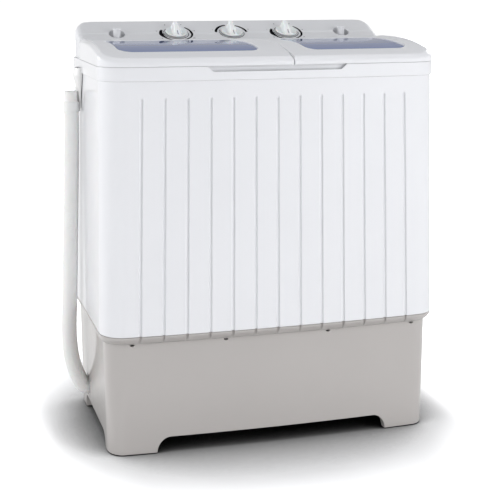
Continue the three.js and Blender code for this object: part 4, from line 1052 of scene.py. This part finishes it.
def make_lint_filter():
    (x0, y0, z0), (x1, y1, z1) = spot("lint_filter")
    case = raw_object("lint_filter_case", prism(rounded_rectangle(y0, y1, z0, z1, 10, 6), "x", x0, x1))
    hollow = prism(rounded_rectangle(y0 + 4, y1 - 4, z0 + 8, z1 - 8, 6, 5), "x", x0 - 1, x1 - 3)
    slots = [prism(rounded_rectangle(y0 + 8, y1 - 8, z, z + 8, 3.5, 4), "x", x1 - 6, x1 + 5)
             for z in np.arange(z0 + 26, z1 - 30, 19)]
    carve(case, hollow, *slots)
    ease(case, 1.4)
    return settle(case, "tub_white", cad="lint_filter", looks="pulsator_blue")


def pulsator_surface(u, v):
    """A shallow dish with a domed hub and four swept vanes."""
    r = np.hypot(u, v)
    angle = np.arctan2(v, u)
    hub = 15 * np.exp(-(r / 24) ** 2)
    dish = 5.5 + 3.0 * (r / PULSATOR_RADIUS) ** 6 - 2.0 * np.exp(-((r - 60) / 22) ** 2)
    swept = np.clip(np.cos(4 * (angle - 0.006 * r)), 0, 1) ** 5
    reach = np.clip((r - 14) / 14, 0, 1) * np.clip((PULSATOR_RADIUS - 5 - r) / 16, 0, 1) ** 0.8
    return hub + dish + swept * reach * (15 - 0.07 * r)


def make_pulsator():
    x, y, floor, _ = upright("pulsator")
    wall = [[PULSATOR_RADIUS + out, z] for out, z in ((0.4, 6.5), (-0.6, 3.5), (-2, 0.2), (-6, 0))] + [[7, 0]]
    disc = polar_field(PULSATOR_RADIUS, 144, pulsator_surface, wall)
    cap = turned(soften([[0, 21.5], [8, 21.2], [10, 19.5], [10.5, 16], [0, 15]], 0.8, closed=False), steps=40)
    pulsator = raw_object("pulsator_disc", moved(joined(disc, cap), (x, y, floor)))
    return settle(pulsator, "pulsator_blue", "pulsator_body", "pulsator", angle=60)


# ---- spin side
def make_spin_tub():
    x, y, low, high = upright("spin_tub")
    profile = soften([[20, low], [109, low], [109, high - 3], [114, high - 3], [114, high], [106, high],
                      [106, low + 3], [20, low + 3]], [0.3, 14, 1.5, 1.2, 1.2, 1.5, 12, 0.3], 6)
    tub = raw_object("spin_tub_moulding", turned(profile, x, y, 96, closed=True))
    return settle(tub, "tub_white", cad="spin_tub")


def make_spin_basket():
    x, y, low, high = upright("spin_basket")
    r = BASKET_RADIUS
    profile = soften([
        [9, low], [r - 4, low], [r, low + 8], [r, high - 5], [r - 12, high], [r - 13, high - 2.5],
        [r - 3, high - 8], [r - 3, low + 9], [r - 8, low + 3], [9, low + 3]],
        [0.3, 4, 4, 3, 1.2, 1.2, 3, 4, 4, 0.3], 5)
    basket = raw_object("spin_basket_drum", turned(profile, x, y, 96, closed=True))
    drills = []
    for row in range(8):
        middle = np.array([x, y, low + 40 + row * 30])
        for i in range(18):
            angle = math.radians((i + 0.5 * (row % 2)) * 20)
            way = np.array([math.cos(angle), math.sin(angle), 0])
            path = np.array([middle + way * (r - 8), middle + way * (r + 5)])
            drills.append(loft(sweep_rows(path, 3.2, 12)))
    carve(basket, joined(*drills))
    ring = turned(soften([[r - 0.5, 0], [r + 1.6, 1.5], [r + 1.6, 3.5], [r - 0.5, 5]], 0.8), x, y, 96, True)
    add_islands(basket, moved(ring, (0, 0, low + 22)), moved(ring, (0, 0, high - 30)))
    return settle(basket, "tub_white", "spin_basket_body", "spin_basket", angle=45)


def make_press_disc():
    x, y, low, _ = upright("spin_press_disc")
    profile = soften([
        [0, low], [91, low], [92, low + 3], [86, low + 5.4], [78, low + 4], [30, low + 4.4], [17, low + 6],
        [14, low + 14], [0, low + 14.4]], [0, 1, 1.5, 2, 3, 6, 3, 2.5, 0], closed=False)
    disc = raw_object("spin_press_plate", turned(profile, x, y, 96))
    holes = []
    for ring, count in ((38.0, 10), (54.0, 14), (70.0, 18)):
        holes += [prism(circle(hole_x, hole_y, 3, 14), "z", low - 2, low + 12)
                  for hole_x, hole_y in circle(x, y, ring, count)]
    carve(disc, joined(*holes))
    return settle(disc, "pulsator_blue", "spin_basket_body", "spin_press_disc", angle=45)


# ---- back
def screw_head(x, y, z):
    """A pan head facing the back."""
    profile = soften([[0, 2.0], [2.52, 1.7], [3.6, 0.6], [3.6, -1.0], [0, -1.0]], 0.5, 3, closed=False)
    return moved(turned(profile, steps=24), (x, y, z), Matrix.Rotation(-math.pi / 2, 4, "X"))


def make_rear_cover():
    (x0, y0, z0), (x1, y1, z1) = spot("rear_cover")
    corners = [(x, z) for x in (-212, 212) for z in (z0 + 14, (z0 + z1) / 2, z1 - 14)]
    plate = raw_object("rear_cover_plate", prism(rounded_rectangle(x0, x1, z0, z1, 12), "y", y0, y1))
    louvres = [prism(rounded_rectangle(-90, 90, z, z + 6, 2.9, 5), "y", y0 - 2, y1 + 4)
               for z in (235, 255, 275, 295)]
    pockets = [prism(circle(x, z, 5.5, 24), "y", y1 - 0.8, y1 + 3) for x, z in corners]
    carve(plate, joined(*louvres), joined(*pockets))
    outer = rounded_rectangle(x0 + 22, x1 - 22, z0 + 22, z1 - 22, 8)
    inner = rounded_rectangle(x0 + 26, x1 - 26, z0 + 26, z1 - 26, 6)
    rim = [level(loop, y1 + out)[:, (0, 2, 1)]
           for loop, out in ((outer, -0.5), (outer * 0.999, 0.9), (inner, 0.9), (inner, -0.5))]
    add_islands(plate, loft(rim, ring=True))
    ease(plate, 0.6, segments=2)
    bake(plate)
    settle(plate, "panel_grey", cad="rear_cover", weighted=False)
    for face in plate.data.polygons:
        face.use_smooth = abs(face.normal.y) < 0.999
    screws = raw_object("rear_cover_screws", joined(*(screw_head(x, y1 - 0.6, z) for x, z in corners)))
    return settle(screws, "steel")


def make_power_cord():
    y, z = CABINET_DEPTH + 5, CORD_HEIGHT       # y of the loop behind the back
    path, _ = respaced(smooth_path([
        [-230, y - 51, z], [-230, y - 31, z], [-230, y - 13, z], [-232, y - 1, 52], [-236, y - 1, 30],
        [-236, y, 10], [-225, y + 1, 5], [-180, y + 1, 4.2], [-124, y, 4.6]], 12), 2.0)
    bush = path[np.abs(path[:, 1] - (CABINET_DEPTH + 1)) < 9][:6]
    sleeve = loft(sweep_rows(bush, [6.5, 6.2, 5.6, 5.0, 4.5, 4.2]))
    stations = ((-124, 3.6, 3.2, 3), (-122, 4.2, 3.8, 3.4), (-112, 7.0, 5.2, 4.6), (-103, 8.0, 5.7, 4.8),
                (-97.5, 8.0, 5.7, 4.8), (-96, 7.2, 5.0, 4.2))
    plug = loft([level(rounded_rectangle(y - w, y + w, 6.2 - h, 6.2 + h, r, 5), x)[:, (2, 0, 1)]
                 for x, w, h, r in stations])
    cord = raw_object("power_cord_and_plug", joined(loft(sweep_rows(path, 3.5, 20)), sleeve, plug))
    settle(cord, "black_rubber", cad="power_cord")
    pins = [rod([-97, y + s, 6.2], [-84.2, y + s, 6.2], 2.0, 20) for s in (-4.5, 4.5)]
    return settle(raw_object("power_plug_pins", joined(*pins)), "steel")


# ---- carried-over CAD nodes
def dress_frame():
    """Gives every CAD node its finish from the record; those that show are smoothed and eased."""
    slots = {part["node"]: part["material_slot"] for part in frame["record"]["subparts"]}
    for name, obj in frame["nodes"].items():
        obj.data.materials.clear()
        obj.data.materials.append(FINISHES[slots[name]])
        if obj.hide_render:
            continue
        obj.modifiers.new("weld", "WELD").merge_threshold = 1e-6
        ease(obj, 0.5, 32, 2)
        obj.data.shade_smooth()
        obj.modifiers.new("normals", "WEIGHTED_NORMAL").weight = 80


# ---- studio
FLOOR_GAIN = 1.8                    # how much brighter than white paper the camera sees the floor
FLOOR_SHADOW = 2.0                  # the power its shadow is raised to
SHADOW_SIDES = (0.22, 0.37)         # metres from the middle over which the shadow's reach shrinks
SHADOW_REACH = (0.29, 0.07)
SHADOW_WAY = (-0.25, 0.65, 0.72)    # where the light that the object hides comes from
GLOSS_SIDES = (0.62, 1.05)          # brightness that gloss mirrors on the right and on the left

CAMERA_PLACE = (-609.63, -1931.72, 748.34)
CAMERA_YAW = 16.25                  # degrees to the right of straight ahead
CAMERA_RISE = 3.34                  # degrees above the horizon
CAMERA_LENS = 87.63
CAMERA_SHIFT = -0.6744              # the picture lies below the lens axis


def area_light(name, place, size, energy, mirrored=True, aim=0.35):
    """A soft light aimed at a height above the middle of the floor; the camera doesn't see it."""
    data = bpy.data.lights.new(name, "AREA")
    data.shape = "RECTANGLE"
    data.size, data.size_y = size
    data.energy = energy
    lamp = bpy.data.objects.new(name, data)
    lamp.visible_camera = False
    lamp.visible_glossy = mirrored
    lamp.location = place
    lamp.rotation_euler = (Vector((0, 0, aim)) - Vector(place)).to_track_quat("-Z", "Y").to_euler()
    bpy.context.scene.collection.objects.link(lamp)


def instead(tree, ray, others, own):
    """A shader for one kind of ray, and another for the rest."""
    kind = node(tree, "LightPath").outputs[ray]
    return node(tree, "MixShader", {"Fac": kind, 1: others, 2: own}).outputs["Shader"]


def make_world():
    """White for the camera, brighter on the left for gloss, and a fade from horizon to zenith for light."""
    world = bpy.data.worlds.new("studio")
    world.use_nodes = True
    tree = world.node_tree
    tree.nodes.clear()
    way = node(tree, "TexCoord").outputs["Generated"]
    split = node(tree, "SeparateXYZ", {"Vector": way})
    ramp = node(tree, "ValToRGB", {"Fac": split.outputs["Z"]})
    stops = ((0.0, (0.92, 0.93, 0.95, 1)), (0.85, (0.32, 0.33, 0.35, 1)))
    for element, (position, color) in zip(ramp.color_ramp.elements, stops):
        element.position = position
        element.color = color
    leftward = remap(tree, split.outputs["X"], 0.15, -0.45, *GLOSS_SIDES)
    studio, mirrored, paper = (
        node(tree, "Background", inputs).outputs["Background"]
        for inputs in ({"Color": ramp.outputs["Color"], "Strength": 0.66}, {"Strength": leftward},
                       {"Color": (1, 1, 1, 1), "Strength": 1.05}))
    seen = instead(tree, "Is Camera Ray", instead(tree, "Is Glossy Ray", studio, mirrored), paper)
    node(tree, "OutputWorld", {"Surface": seen})
    bpy.context.scene.world = world


def floor_paper():
    """Pale paper. The camera sees it a little overexposed, with a painted shadow close to what stands on it;
    reflections see it glowing, with the same painted shadow.
    """
    made = bpy.data.materials.new("floor_paper")
    made.use_nodes = True
    tree = made.node_tree
    tree.nodes.clear()
    place = node(tree, "TexCoord").outputs["Object"]
    across = node(tree, "SeparateXYZ", {"Vector": place}).outputs["X"]
    reach = remap(tree, worked_out(tree, "ABSOLUTE", across), *SHADOW_SIDES, *SHADOW_REACH)
    # painted shadow: ambient occlusion darkens the floor's colour close to what stands on it
    near = node(tree, "AmbientOcclusion", {"Distance": reach, "Normal": SHADOW_WAY}, samples=12)
    open_sky = worked_out(tree, "POWER", near.outputs["AO"], FLOOR_SHADOW)
    away = node(tree, "VectorMath", {0: place}, operation="LENGTH").outputs["Value"]
    gain = remap(tree, away, 0.4, 2.0, FLOOR_GAIN, FLOOR_GAIN * 4)
    bright = worked_out(tree, "MULTIPLY", open_sky, gain)
    tint = node(tree, "CombineColor", {"Red": bright, "Green": bright, "Blue": bright})
    seen, plain = (node(tree, "BsdfDiffuse", {"Color": color}).outputs["BSDF"]
                   for color in (tint.outputs["Color"], (0.8, 0.8, 0.8, 1)))
    # painted reflection: the floor glows for glossy rays, darkened by the same painted shadow
    mirrored = node(tree, "Emission", {"Color": open_sky, "Strength": 0.85}).outputs["Emission"]
    surface = instead(tree, "Is Camera Ray", instead(tree, "Is Glossy Ray", plain, mirrored), seen)
    node(tree, "OutputMaterial", {"Surface": surface})
    return made


def make_floor():
    mesh = bpy.data.meshes.new("floor")
    mesh.from_pydata([(-14, -14, 0), (14, -14, 0), (14, 14, 0), (-14, 14, 0)], [], [(0, 1, 2, 3)])
    mesh.materials.append(floor_paper())
    floor = bpy.data.objects.new("floor", mesh)
    bpy.context.scene.collection.objects.link(floor)


def make_camera():
    """The camera of the product shot. A driver drops its vertical shift once it is moved."""
    data = bpy.data.cameras.new("camera")
    data.lens = CAMERA_LENS
    data.sensor_width = 36.0
    camera = bpy.data.objects.new("camera", data)
    bpy.context.scene.collection.objects.link(camera)
    camera.location = Vector(CAMERA_PLACE) * MM + ORIGIN
    yaw, rise = math.radians(CAMERA_YAW), math.radians(CAMERA_RISE)
    ahead = Vector((math.sin(yaw) * math.cos(rise), math.cos(yaw) * math.cos(rise), math.sin(rise)))
    camera.rotation_euler = ahead.to_track_quat("-Z", "Y").to_euler()
    driver = data.driver_add("shift_y").driver
    driver.type = "SCRIPTED"
    place = driver.variables.new()
    place.name = "place"
    place.type = "SINGLE_PROP"
    place.targets[0].id = camera
    place.targets[0].data_path = "location.x"
    driver.expression = f"{CAMERA_SHIFT} if abs(place - {camera.location.x:.6f}) < 0.0005 else 0.0"
    bpy.context.scene.camera = camera


def make_studio():
    make_world()
    make_floor()
    area_light("key_front_right", (1.8, -2.1, 1.0), (1.3, 1.3), 30, mirrored=False)
    area_light("fill_left", (-2.4, -0.3, 0.8), (2.0, 1.8), 27, mirrored=False)
    area_light("floor_bounce", (0.1, -1.3, 0.03), (2.4, 0.5), 5, mirrored=False)
    area_light("overhead", (0.2, -0.3, 2.6), (2.2, 2.2), 11, aim=0.0)
    area_light("back_left", (-2.2, 1.6, 1.4), (1.2, 1.6), 18, aim=0.4)
    area_light("back_right", (2.2, 1.8, 1.4), (1.2, 1.6), 14, aim=0.4)
    make_camera()
    scene = bpy.context.scene
    scene.view_settings.view_transform = "Standard"
    scene.view_settings.look = "None"


# ---- build
make_cabinet()
make_base()
make_top_frame()
for kind in ("wash", "spin"):
    make_lid(kind)
    make_window(kind)
make_control_panel()
for side in ("left", "right"):
    make_inlet(side)
for knob_name in KNOB_NAMES:
    make_knob(knob_name)
make_prints()
make_hose()
make_hanger()
make_wash_tub()
make_lint_filter()
make_pulsator()
make_spin_tub()
make_spin_basket()
make_press_disc()
make_rear_cover()
make_power_cord()
dress_frame()
make_studio()
